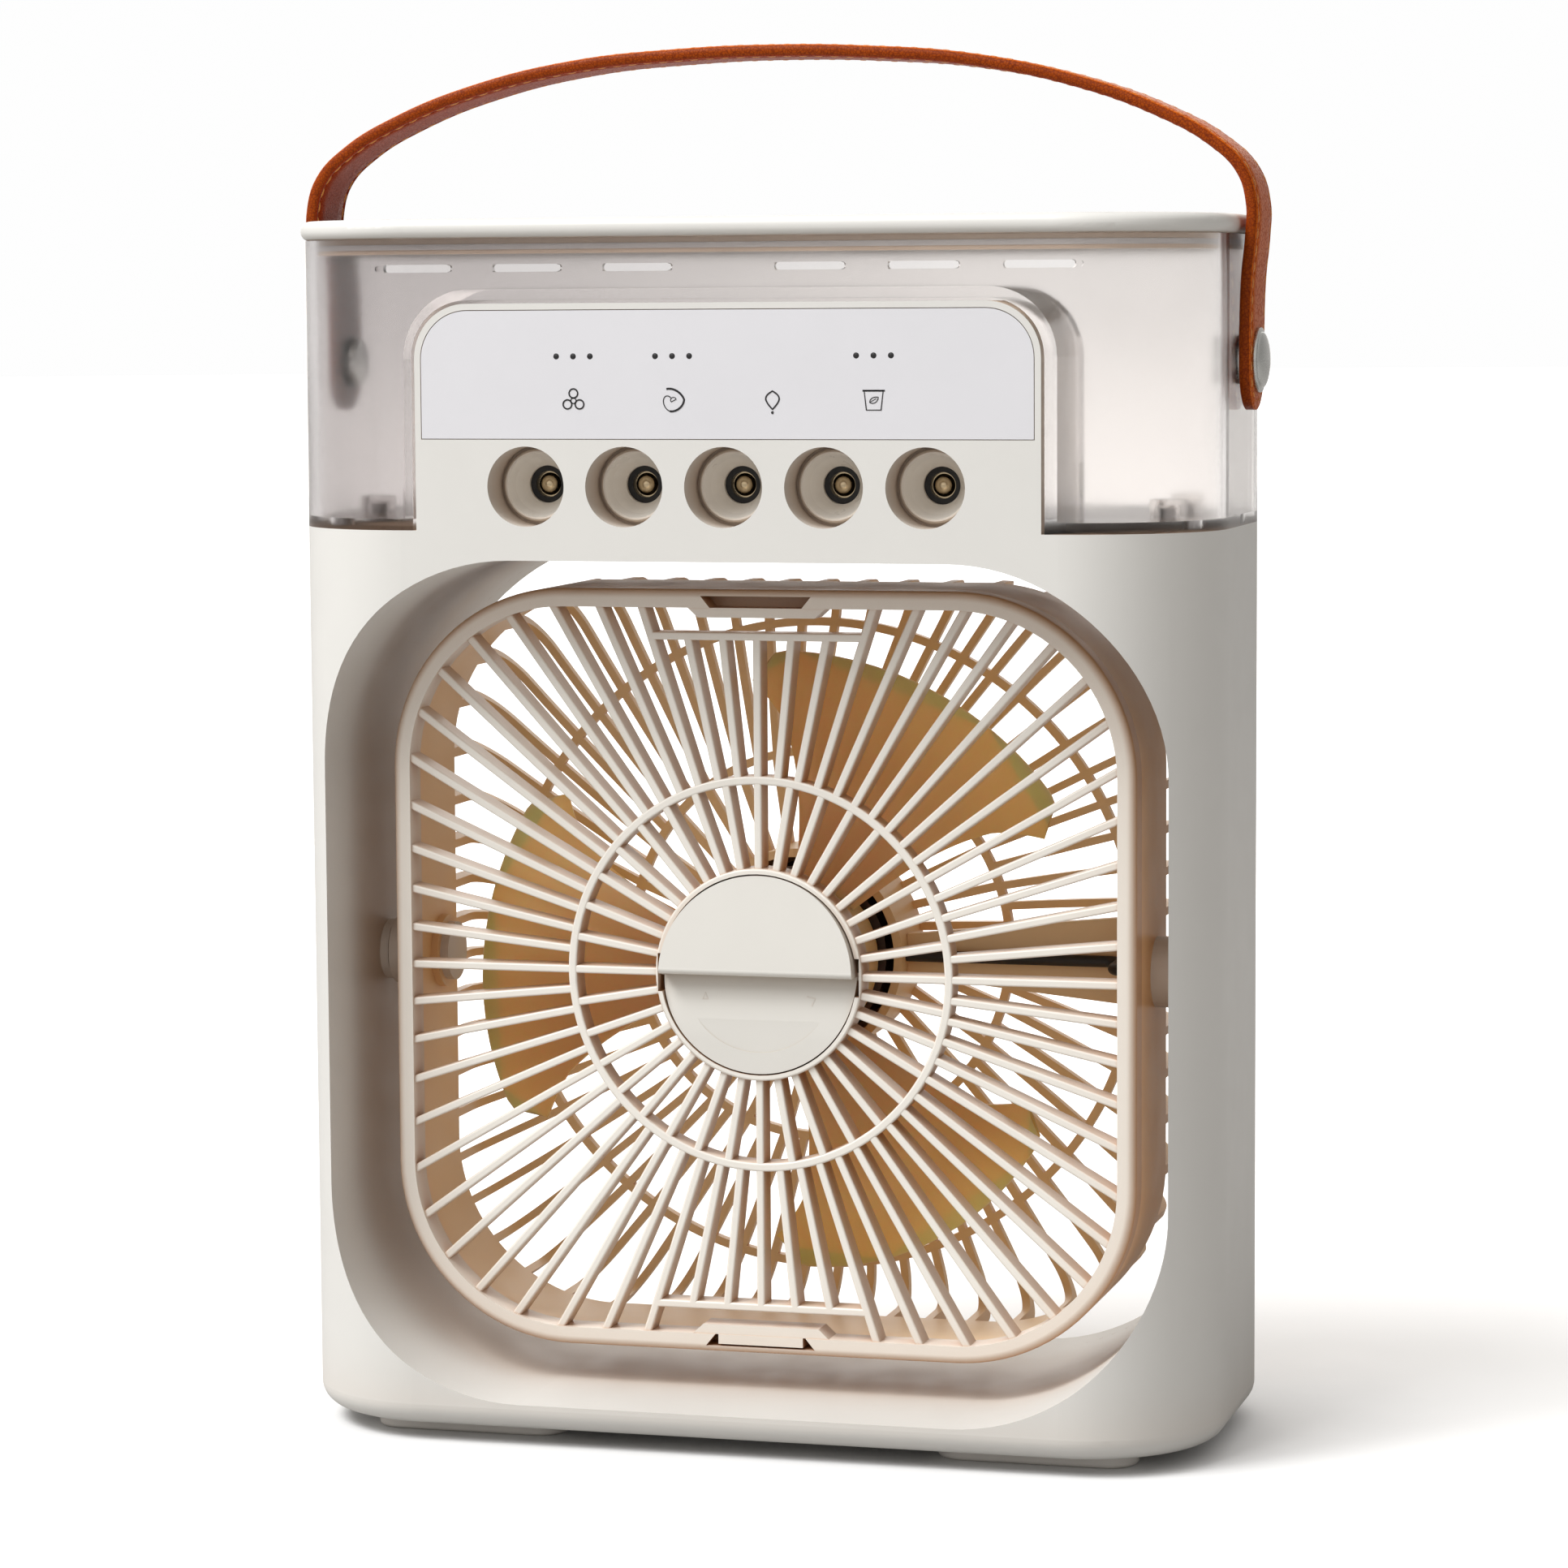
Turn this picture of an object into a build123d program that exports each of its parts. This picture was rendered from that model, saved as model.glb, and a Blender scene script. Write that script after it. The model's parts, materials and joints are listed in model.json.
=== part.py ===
"""Desktop mist fan: a tilting square fan head in a see-through window, with a
clear water tank, five mist nozzles and a leather carrying strap on top.
Millimetres. +Z is up, -Y is the front, the origin is at the middle of the base."""
from build123d import *
import math
import os

# ---- Housing -------------------------------------------------------------
BODY_W = 175.0            # width of the body
BODY_D = 80.0             # depth of the body
BODY_R = 26.0             # radius of the upright corners
WALL = 2.2                # outer wall
FOOT_H = 3.0              # height of the foot pads
PAD_SIZE = (37.5, 11.0)   # length and width of a foot pad
PAD_PLACE = (54.5, 25.0)
DECK_Z = 170.3            # top of the housing, where the tank stands
BASE_ROUND = 4.2          # rounding of the lower edge
BASE_INSET = 5.5          # margin between the outline and the base cover
BASE_FIT = 0.15           # gap round the base cover
SEAM_Y = 31.0             # where the front and rear shells meet
WIN_W = 160.0             # the window through the body
WIN_BOTTOM = 8.1
WIN_TOP = 164.9
WIN_R = 39.0
LINER = 2.0               # wall of the window tunnel

# ---- Tank and lid --------------------------------------------------------
LID_Z = 223.4             # underside of the lid
LID_T = 3.6
LID_OVERHANG = 0.75
SKIRT_DEEP = 2.8          # depth of the lid's skirt
TANK_T = 2.0
SLOT_Z = 218.0            # row of vent slots under the lid
SLOT_LONG = 13.0
SLOT_HIGH = 1.4
SLOT_X = (16.1, 37.0, 58.0)
GROOVE_DEEP = 0.8         # the groove that joins the slots
GROOVE_HIGH = 1.1
GROOVE_HW = 66.0
TANK_BOSS_TOP = 175.5     # top of the screw bosses in the tank

# ---- Control module ------------------------------------------------------
MOD_HW = 58.5             # half width
MOD_TOP = 211.6
MOD_R = 10.0
MOD_BACK = -18.0
MOD_T = 1.8
NOTCH_GAP = 0.6           # between the module and the tank's notch
SHEET_HW = 57.2           # the touch sheet
SHEET_Z0 = 187.1
SHEET_Z1 = 210.3
SHEET_T = 0.6
SHEET_FIT = 0.15          # gap round the sheet in its bed
NOZZLE_PITCH = 18.7
NOZZLE_Z = 178.4
WELL_R = 7.3              # the wells that the nozzles sit in
WELL_WALL = 1.0
WELL_FLOOR = -31.0        # where a well narrows to the nozzle's bore
WELL_BACK = -26.0
BORE_R = 6.9
WICK_R = 3.0
DISC_Y = -25.2            # front of the atomiser discs
DISC_T = 0.7
DOME_R = 2.1              # the dome in the middle of a disc
DOME_UP = 1.6
ICON_Z = 194.0
DOT_Z = 202.0
DOT_PITCH = 3.2

# ---- Fan head ------------------------------------------------------------
HEAD_Z = 87.0             # height of the fan's centre and of the pivots
HEAD_W = 142.8
HEAD_H = 143.4
HEAD_R = 34.0
HEAD_FRONT = -19.0
GRILLE_BACK = -13.0
SHELL_BACK = 8.5
GUARD_BACK = 28.0
PIVOT_Y = 2.0
RIM = 3.4                 # width of the grille's rim
SLAT_T = 1.5
SLAT_DEEP = 4.8
SLAT_ROUND = 0.4          # rounding of the slats' front edges
OUTER_SLATS = 60
INNER_SLATS = 36
RING_R = 36.3
SEAT_R = 19.9
KNOB_R = 18.6
SCOOP_R = 14.6            # edge of the shallow thumb rest in the knob's lower half
BAR_UP = 63.0             # straight bars above and below the slats
NOTCH_HW = 10.6           # latch notches in the rim
NOTCH_HIGH = 2.2
NOTCH_FLOOR = 0.8         # wall left behind a notch
LUG_SLOT_X = (18.4, 19.4)
LUG_SLOT_HH = 3.6         # half height of the slots that the knob's lugs turn in
GUARD_T = 2.0
GUARD_ROUND = 9.0
GUARD_RIBS = 60
REAR_RING_R = 63.0
CUP_R = 20.5              # the cup that holds the motor
ARM_BACK = 17.0
ARM_T = 2.0
LEAD_R = 1.1
LEAD_END = 82.0           # where the motor's lead stops, inside the right pivot pin
PAD_DEEP = 3.6            # depth of the pivot pads inside the duct's walls
PIN_END = 83.6
BLADES = 3
BLADE_R = 60.0
HUB_R = 16.5
HUB_FRONT = -8.0
HUB_BACK = 7.5
HUB_WALL = 1.8
SLEEVE_R = 4.0            # the hub's sleeve on the shaft
BLADE_T = 1.6
BLADE_PITCH = 17.0
MOTOR_R = 17.0
MOTOR_FRONT = 11.5
SHAFT_R = 1.5
SHAFT_BACK = 24.0
MOTOR_SCREW_X = 8.0
MOTOR_SCREW_R = 1.25

# ---- Strap ---------------------------------------------------------------
RIVET_Z = 200.5
STRAP_T = 2.3
STRAP_W = 16.0
STRAP_X = 89.15           # middle of the strap's thickness at the rivets
STRAP_LOW = 191.4
STRAP_BEND = 206.0        # height where the straight ends pass into the arch
STRAP_TOP = 259.0
RIVET_R = 6.0
RIVET_DOME = 10.4         # ball radius of the rivets' heads
SHANK_R = 2.0

RUN_FIT = 0.05            # radial clearance of a pin in its bush


# ---- Shapes used more than once ------------------------------------------
def upright(w, d, r, z0, z1):
    """Rounded rectangle seen from above, from height z0 to z1."""
    return extrude(Pos(0, 0, z0) * RectangleRounded(w, d, r), z1 - z0)


def through(w, h, r, y0, y1, z=HEAD_Z, x=0):
    """Rounded rectangle seen from the front, from y0 to y1 (front to back)."""
    plane = Plane(origin=(x, y1, z), x_dir=(1, 0, 0), z_dir=(0, -1, 0))
    return extrude(plane * RectangleRounded(w, h, r), y1 - y0)


def rod_y(r, y0, y1, x=0, z=HEAD_Z):
    """Round bar along Y."""
    plane = Plane(origin=(x, y0, z), x_dir=(1, 0, 0), z_dir=(0, 1, 0))
    return extrude(plane * Circle(r), y1 - y0)


def rod_x(r, x0, x1, y=PIVOT_Y, z=HEAD_Z):
    """Round bar along X."""
    plane = Plane(origin=(min(x0, x1), y, z), x_dir=(0, 1, 0), z_dir=(1, 0, 0))
    return extrude(plane * Circle(r), abs(x1 - x0))


def rod_z(r, z0, z1, x=0, y=0):
    """Round bar along Z."""
    return extrude(Pos(x, y, z0) * Circle(r), z1 - z0)


def block(x0, x1, y0, y1, z0, z1):
    """Box between two corners."""
    return Pos((x0 + x1) / 2, (y0 + y1) / 2, (z0 + z1) / 2) * Box(x1 - x0, y1 - y0, z1 - z0)


def group(shapes):
    """Separate equal solids kept in one node."""
    return Compound(children=[Solid(shape.solid().wrapped) for shape in shapes])


def four(x, y):
    """The four mirrored places of (x, y)."""
    return [(sx * x, sy * y) for sx in (-1, 1) for sy in (-1, 1)]


def nozzle_xs():
    return [NOZZLE_PITCH * (i - 2) for i in range(5)]


def icon_xs():
    return [NOZZLE_PITCH * (i - 1.5) for i in range(4)]


# ---- Housing -------------------------------------------------------------
WIN_H = WIN_TOP - WIN_BOTTOM
WIN_Z = (WIN_TOP + WIN_BOTTOM) / 2
BASE_TOP = FOOT_H + WALL
BASE_SCREW = (73.0, 16.0)
REAR_SCREW_X = 75.0
REAR_SCREW_Z = (13.0, 160.0)
REAR_SEAT_Y = 33.6        # where the rear screws' heads sit
BOSS_R = 3.25
SCREW_R = 1.5
SCREW_HOLE = SCREW_R + RUN_FIT
SCREW_HEAD_R = 2.7
TANK_SCREW = (76.0, 12.0)
RIBBON_SLOT = (24, 36, -24.5, -20.5)      # where the control board's ribbon goes down
MOD_SCREW = (50.0, -25.0)
USB_X = -67.5
USB_Z = 9.9
USB_SHELL = (3.3, 9.0, 1.6)               # width, height and corner radius
USB_MOUTH = (2.7, 8.4, 1.3)
USB_FRONT = 31.3
USB_BACK = 38.9
PIVOT_BORE = 4.2
BUSH_R = PIVOT_BORE + 1.3
BUSH_FLANGE_R = 5.8
LIGHT_Y = 11.0


def housing():
    """Hollow body with its window tunnel, before it is split at the seam."""
    outer = upright(BODY_W, BODY_D, BODY_R, FOOT_H, DECK_Z)
    outer = fillet(outer.faces().sort_by(Axis.Z)[0].edges(), BASE_ROUND)
    cavity = upright(BODY_W - 2 * WALL, BODY_D - 2 * WALL, BODY_R - WALL, BASE_TOP, DECK_Z - WALL)
    liner = through(WIN_W + 2 * LINER, WIN_H + 2 * LINER, WIN_R + LINER, -BODY_D, BODY_D, WIN_Z)
    window = through(WIN_W, WIN_H, WIN_R, -BODY_D, BODY_D, WIN_Z)
    body = outer - cavity + (liner & outer)
    for x, y in four(*BASE_SCREW):
        body += rod_z(BOSS_R, BASE_TOP, 19.5, x, y)
    for z in REAR_SCREW_Z:
        for x in (-REAR_SCREW_X, REAR_SCREW_X):
            body += rod_y(BOSS_R, 20.5, BODY_D / 2, x, z) & outer
    body -= window
    body -= upright(BODY_W - 2 * BASE_INSET, BODY_D - 2 * BASE_INSET, BODY_R - BASE_INSET,
                    FOOT_H - 1, BASE_TOP)
    for x, y in four(*BASE_SCREW):
        body -= rod_z(SCREW_HOLE, BASE_TOP - 1, 17.5, x, y)
    for z in REAR_SCREW_Z:
        for x in (-REAR_SCREW_X, REAR_SCREW_X):
            body -= rod_y(SCREW_HOLE, 21.5, BODY_D / 2, x, z)
            body -= rod_y(SCREW_HEAD_R + 0.3, REAR_SEAT_Y, BODY_D / 2, x, z)
    for x, y in four(*TANK_SCREW):
        body -= rod_z(SCREW_HOLE, DECK_Z - WALL - 1, DECK_Z + 1, x, y)
    for x in (-MOD_SCREW[0], MOD_SCREW[0]):
        body -= rod_z(SCREW_HOLE, DECK_Z - WALL - 0.5, DECK_Z + 1, x, MOD_SCREW[1])
    for side in (-1, 1):
        body -= rod_x(BUSH_R, side * (WIN_W / 2 - 1), side * (WIN_W / 2 + LINER + 2))
    body -= block(-48, 48, LIGHT_Y - 2, LIGHT_Y + 2, DECK_Z - WALL - 0.5, DECK_Z + 1)
    body -= block(*RIBBON_SLOT, DECK_Z - WALL - 0.5, DECK_Z + 1)
    wide, tall, corner = USB_SHELL
    body -= through(wide + 0.2, tall + 0.2, corner + 0.1, 30, BODY_D, USB_Z, USB_X)
    return body


def half_space(front):
    if front:
        return block(-100, 100, -60, SEAM_Y, -10, 200)
    return block(-100, 100, SEAM_Y, 60, -10, 200)


def base_cover():
    cut = 2 * (BASE_INSET + BASE_FIT)
    plate = upright(BODY_W - cut, BODY_D - cut, BODY_R - BASE_INSET - BASE_FIT, FOOT_H, BASE_TOP)
    for x, y in four(*BASE_SCREW):
        plate -= rod_z(SCREW_HOLE, 0, BASE_TOP + 1, x, y)
        plate -= rod_z(SCREW_HEAD_R + 0.2, 0, FOOT_H + 1.2, x, y)
    return plate


def foot_pads():
    """Four long rubber pads under the base cover."""
    pads = []
    for x, y in four(*PAD_PLACE):
        pad = extrude(Pos(x, y, 0) * SlotOverall(*PAD_SIZE), FOOT_H)
        pads.append(fillet(pad.faces().sort_by(Axis.Z)[0].edges(), 0.8))
    return group(pads)


def base_screws():
    out = []
    for x, y in four(*BASE_SCREW):
        out.append(rod_z(SCREW_HEAD_R, FOOT_H + 0.1, FOOT_H + 1.2, x, y)
                   + rod_z(SCREW_R, FOOT_H + 1.2, 16.5, x, y))
    return group(out)


def rear_screws():
    out = []
    for z in REAR_SCREW_Z:
        for x in (-REAR_SCREW_X, REAR_SCREW_X):
            head = rod_y(SCREW_HEAD_R, REAR_SEAT_Y, REAR_SEAT_Y + 1.6, x, z)
            out.append(head + rod_y(SCREW_R, REAR_SEAT_Y - 10.6, REAR_SEAT_Y, x, z))
    return group(out)


def usb_socket():
    """Upright power socket in the rear wall, with its tongue."""
    shell = through(*USB_SHELL, USB_FRONT, USB_BACK, USB_Z, USB_X)
    shell -= through(*USB_MOUTH, USB_FRONT + 1.0, USB_BACK + 1.0, USB_Z, USB_X)
    tongue_hw, tongue_hh = 0.35, 3.3
    return shell + block(USB_X - tongue_hw, USB_X + tongue_hw, USB_FRONT + 0.7, USB_BACK - 1.3,
                         USB_Z - tongue_hh, USB_Z + tongue_hh)


def power_board():
    side = USB_X + USB_SHELL[0] / 2
    return block(side, side + 1.0, 20.5, 36.5, BASE_TOP + 0.3, USB_Z + 3.3)


def pivot_bush(side):
    """Flanged bush that carries the head's pin in the window wall."""
    bush = rod_x(BUSH_R, side * (WIN_W / 2), side * (WIN_W / 2 + LINER))
    bush += rod_x(BUSH_FLANGE_R, side * (WIN_W / 2 - 1.6), side * (WIN_W / 2))
    return bush - rod_x(PIVOT_BORE, side * 70, side * 90)


# ---- Tank and lid --------------------------------------------------------
def water_tank():
    """Clear tank that wraps the control module on three sides."""
    outer = upright(BODY_W, BODY_D, BODY_R, DECK_Z, LID_Z)
    inner = upright(BODY_W - 2 * TANK_T, BODY_D - 2 * TANK_T, BODY_R - TANK_T, DECK_Z + TANK_T, LID_Z + 1)
    gap_hw = MOD_HW + NOTCH_GAP
    gap_top = MOD_TOP + NOTCH_GAP
    low = DECK_Z - 30
    notch = through(2 * gap_hw, gap_top - low, MOD_R + NOTCH_GAP, -60, MOD_BACK + NOTCH_GAP,
                    (gap_top + low) / 2)
    cheek = through(2 * (gap_hw + TANK_T), gap_top + TANK_T - low, MOD_R + NOTCH_GAP + TANK_T, -60,
                    MOD_BACK + NOTCH_GAP + TANK_T, (gap_top + TANK_T + low) / 2)
    tank = outer - inner + (cheek & outer) - notch
    for x, y in four(*TANK_SCREW):
        tank += rod_z(3.4, DECK_Z, TANK_BOSS_TOP, x, y)
        tank -= rod_z(SCREW_HOLE, DECK_Z - 1, TANK_BOSS_TOP - 1.0, x, y)
    front = -BODY_D / 2
    tank -= through(2 * GROOVE_HW, GROOVE_HIGH, 0.5, front - 1, front + GROOVE_DEEP, SLOT_Z)
    for sx in (-1, 1):
        for x in SLOT_X:
            tank -= through(SLOT_LONG, SLOT_HIGH, 0.6, front - 5, front + TANK_T + 1, SLOT_Z, sx * x)
        tank -= rod_x(SHANK_R + RUN_FIT, sx * 84, sx * 90, 0, RIVET_Z)
    for x in nozzle_xs():
        tank -= rod_y(4.4, MOD_BACK, MOD_BACK + NOTCH_GAP + TANK_T + 0.5, x, NOZZLE_Z)
    return tank


def tank_screws():
    out = []
    for x, y in four(*TANK_SCREW):
        out.append(rod_z(SCREW_HEAD_R, DECK_Z - WALL - 1.5, DECK_Z - WALL, x, y)
                   + rod_z(SCREW_R, DECK_Z - WALL, TANK_BOSS_TOP - 1.5, x, y))
    return group(out)


def lid():
    plate = upright(BODY_W + 2 * LID_OVERHANG, BODY_D + 2 * LID_OVERHANG, BODY_R + LID_OVERHANG,
                    LID_Z, LID_Z + LID_T)
    plate = fillet(plate.edges().filter_by(Plane.XY), 1.7)
    tray = upright(BODY_W - 18, BODY_D - 18, BODY_R - 9, LID_Z + LID_T - 0.8, LID_Z + LID_T + 1)
    skirt_w = BODY_W - 2 * TANK_T - 0.8
    skirt_d = BODY_D - 2 * TANK_T - 0.8
    skirt_r = BODY_R - TANK_T - 0.4
    skirt = upright(skirt_w, skirt_d, skirt_r, LID_Z - SKIRT_DEEP, LID_Z)
    skirt -= upright(skirt_w - 3.2, skirt_d - 3.2, skirt_r - 1.6, LID_Z - SKIRT_DEEP - 1, LID_Z)
    groove = upright(skirt_w + 1, skirt_d + 1, skirt_r + 0.5, LID_Z - 2.0, LID_Z - 1.0)
    groove -= upright(skirt_w - 1.0, skirt_d - 1.0, skirt_r - 0.5, LID_Z - 2.1, LID_Z - 0.9)
    return plate - tray + skirt - groove


def lid_seal():
    w = BODY_W - 2 * TANK_T - 0.3
    d = BODY_D - 2 * TANK_T - 0.3
    r = BODY_R - TANK_T - 0.15
    inner = 1.5
    seal = upright(w, d, r, LID_Z - 2.0, LID_Z - 1.0)
    return seal - upright(w - inner, d - inner, r - inner / 2, LID_Z - 3, LID_Z)


# ---- Control module ------------------------------------------------------
def control_module():
    """Case with five deep nozzle wells and a shallow bed for the touch sheet."""
    low = DECK_Z - 30
    case = through(2 * MOD_HW, MOD_TOP - low, MOD_R, -BODY_D / 2, MOD_BACK, (MOD_TOP + low) / 2)
    case &= block(-70, 70, -50, 0, DECK_Z, 230)
    inner_r = MOD_R - MOD_T
    room = through(2 * (MOD_HW - MOD_T), MOD_TOP - MOD_T - low, inner_r, -BODY_D / 2 + MOD_T, 0,
                   (MOD_TOP - MOD_T + low) / 2)
    case -= room & block(-70, 70, -50, 10, DECK_Z + MOD_T, 230)
    case -= touch_sheet_blank(SHEET_T + 1, -BODY_D / 2 - 1, SHEET_FIT)
    above_deck = block(-70, 70, -50, 0, DECK_Z, 230)
    for x in nozzle_xs():
        case += rod_y(WELL_R + WELL_WALL, -BODY_D / 2 + 0.5, WELL_BACK, x, NOZZLE_Z) & above_deck
        case -= rod_y(WELL_R, -50, WELL_FLOOR, x, NOZZLE_Z)
        case -= rod_y(BORE_R, -50, WELL_BACK + 1, x, NOZZLE_Z)
    for x in (-MOD_SCREW[0], MOD_SCREW[0]):
        case += rod_z(3.2, DECK_Z + MOD_T, 177.5, x, MOD_SCREW[1])
        case -= rod_z(SCREW_HOLE, DECK_Z - 1, 176.5, x, MOD_SCREW[1])
    case -= block(*RIBBON_SLOT, DECK_Z - 1, DECK_Z + MOD_T + 1)
    return case


def touch_sheet_blank(thick, y0, fit=0.0):
    """Outline of the touch sheet, or of its bed: round top corners, square lower edge."""
    low = SHEET_Z0 - 20
    high = SHEET_Z1 + fit
    sheet = through(2 * (SHEET_HW + fit), high - low, MOD_R - 1.2 + fit, y0, y0 + thick, (high + low) / 2)
    return sheet & block(-70, 70, -60, 0, SHEET_Z0 - fit, 230)


def dot_places():
    """Three indicator dots above every icon but the light's."""
    xs = icon_xs()
    return [xs[i] + DOT_PITCH * k for i in (0, 1, 3) for k in (-1, 0, 1)]


def control_overlay():
    sheet = touch_sheet_blank(SHEET_T, -BODY_D / 2)
    for x in dot_places():
        sheet -= rod_y(0.55, -50, -30, x, DOT_Z)
    return sheet


def module_back():
    """Rear cover inside the case, pierced for the five wicks."""
    gap = MOD_T + 0.15
    low = DECK_Z - 30
    plate = through(2 * (MOD_HW - gap), MOD_TOP - gap - low, MOD_R - gap, MOD_BACK - 1.8, MOD_BACK,
                    (MOD_TOP - gap + low) / 2)
    plate &= block(-70, 70, -50, 0, DECK_Z + gap, 230)
    for x in nozzle_xs():
        plate -= rod_y(4.4, -30, 0, x, NOZZLE_Z)
    return plate


def module_screws():
    out = []
    for x in (-MOD_SCREW[0], MOD_SCREW[0]):
        y = MOD_SCREW[1]
        out.append(rod_z(2.4, DECK_Z - WALL - 1.0, DECK_Z - WALL, x, y)
                   + rod_z(SCREW_R, DECK_Z - WALL, 176.0, x, y))
    return group(out)


def control_board():
    return block(-52, 52, -36.4, -34.8, 187.5, 207.5)


def touch_pads():
    return group([rod_y(3.8, -38.2, -36.4, x, ICON_Z) for x in icon_xs()])


def indicator_leds():
    return group([block(x - 0.8, x + 0.8, -37.4, -36.4, DOT_Z - 0.5, DOT_Z + 0.5) for x in dot_places()])


def ring_of_revolution(points, x, z):
    """Turned ring about an axis along Y; points are (radius, y)."""
    outline = Polyline(*[(r, y, 0) for r, y in points], close=True)
    turned = revolve(make_face(outline), Axis.Y)
    return Pos(x, 0, z) * turned


def nozzle_cups():
    """Funnels that stand in the wells, with a shadow gap round their mouths."""
    mouth = WELL_FLOOR - 1.5
    step = WELL_FLOOR
    back = WELL_BACK - 0.2
    profile = [(5.9, mouth), (6.25, mouth), (6.6, mouth + 0.3), (6.6, step), (BORE_R, step), (BORE_R, back),
               (3.45, back), (3.45, back - 0.8), (4.1, back - 2.0), (5.1, back - 4.0)]
    return group([ring_of_revolution(profile, x, NOZZLE_Z) for x in nozzle_xs()])


def disc_seals():
    """Black rubber rings that clamp the discs behind the funnels."""
    profile = [(2.4, WELL_BACK - 0.2), (BORE_R, WELL_BACK - 0.2), (BORE_R, DISC_Y), (2.4, DISC_Y)]
    return group([ring_of_revolution(profile, x, NOZZLE_Z) for x in nozzle_xs()])


def mist_discs():
    """Metal atomiser discs, each with a dome that shows in its funnel."""
    ball_r = (DOME_R ** 2 + DOME_UP ** 2) / (2 * DOME_UP)
    discs = []
    for x in nozzle_xs():
        ball = Pos(x, DISC_Y - DOME_UP + ball_r, NOZZLE_Z) * Sphere(ball_r)
        front = rod_y(DOME_R + 1, -40, DISC_Y + 0.2, x, NOZZLE_Z)
        discs.append(rod_y(6.0, DISC_Y, DISC_Y + DISC_T, x, NOZZLE_Z) + (ball & front))
    return group(discs)


def wick_sticks():
    return group([rod_y(WICK_R, DISC_Y + DISC_T, -5.0, x, NOZZLE_Z) for x in nozzle_xs()])


def wick_grommets():
    """Rubber sleeves that seal the wicks where they enter the tank."""
    wall = MOD_BACK + NOTCH_GAP + TANK_T
    profile = [(WICK_R + RUN_FIT, MOD_BACK - 1.8), (4.3, MOD_BACK - 1.8), (4.3, wall), (5.6, wall),
               (5.6, wall + 1.2), (WICK_R + RUN_FIT, wall + 1.2)]
    return group([ring_of_revolution(profile, x, NOZZLE_Z) for x in nozzle_xs()])


def light_board():
    return block(-50, 50, LIGHT_Y - 4, LIGHT_Y + 4, DECK_Z - WALL - 1.1, DECK_Z - WALL)


def light_guide():
    return block(-47.8, 47.8, LIGHT_Y - 1.8, LIGHT_Y + 1.8, DECK_Z - WALL, DECK_Z)


# ---- Fan head ------------------------------------------------------------
def polar(r, degrees):
    return (r * math.cos(math.radians(degrees)), r * math.sin(math.radians(degrees)))


def soft_front(plane, length, thick=SLAT_T):
    """Bar along the plane's normal; its section has rounded front edges (the plane's -Y side)."""
    section = Rectangle(thick, SLAT_DEEP)
    front = section.vertices().sort_by(Axis.Y)[:2]
    return extrude(plane * fillet(front, SLAT_ROUND), length)


def slat(r0, r1, degrees, y0):
    """Straight radial slat in the plane of the grille."""
    away = polar(1.0, degrees)
    start = (r0 * away[0], y0 + SLAT_DEEP / 2, HEAD_Z + r0 * away[1])
    plane = Plane(origin=start, x_dir=(away[1], 0, -away[0]), z_dir=(away[0], 0, away[1]))
    return soft_front(plane, r1 - r0)


def tube_y(r_out, r_in, y0, y1):
    return rod_y(r_out, y0, y1) - rod_y(r_in, y0 - 1, y1 + 1)


def rim_reach(degrees):
    """Distance from the centre to the middle of the rim in one direction."""
    c = abs(math.cos(math.radians(degrees)))
    s = abs(math.sin(math.radians(degrees)))
    half_w = HEAD_W / 2 - 1.2
    half_h = HEAD_H / 2 - 1.2
    reach = min(half_w / max(c, 1e-6), half_h / max(s, 1e-6))
    corner = HEAD_R - 1.2
    cx = half_w - corner
    cz = half_h - corner
    if reach * c > cx and reach * s > cz:
        along = cx * c + cz * s
        reach = along + math.sqrt(along ** 2 - cx ** 2 - cz ** 2 + corner ** 2)
    return reach


def notch_outline(up, half, shoulder, z0, z1, back):
    """Trapezoid across the middle of the rim, from distance z0 to z1 off the head's centre."""
    plane = Plane(origin=(0, back, HEAD_Z), x_dir=(1, 0, 0), z_dir=(0, -1, 0))
    corners = Polyline((-half + shoulder, up * z0), (half - shoulder, up * z0), (half, up * z1),
                       (-half, up * z1), close=True)
    return extrude(plane * make_face(corners), back - HEAD_FRONT + 1)


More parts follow.
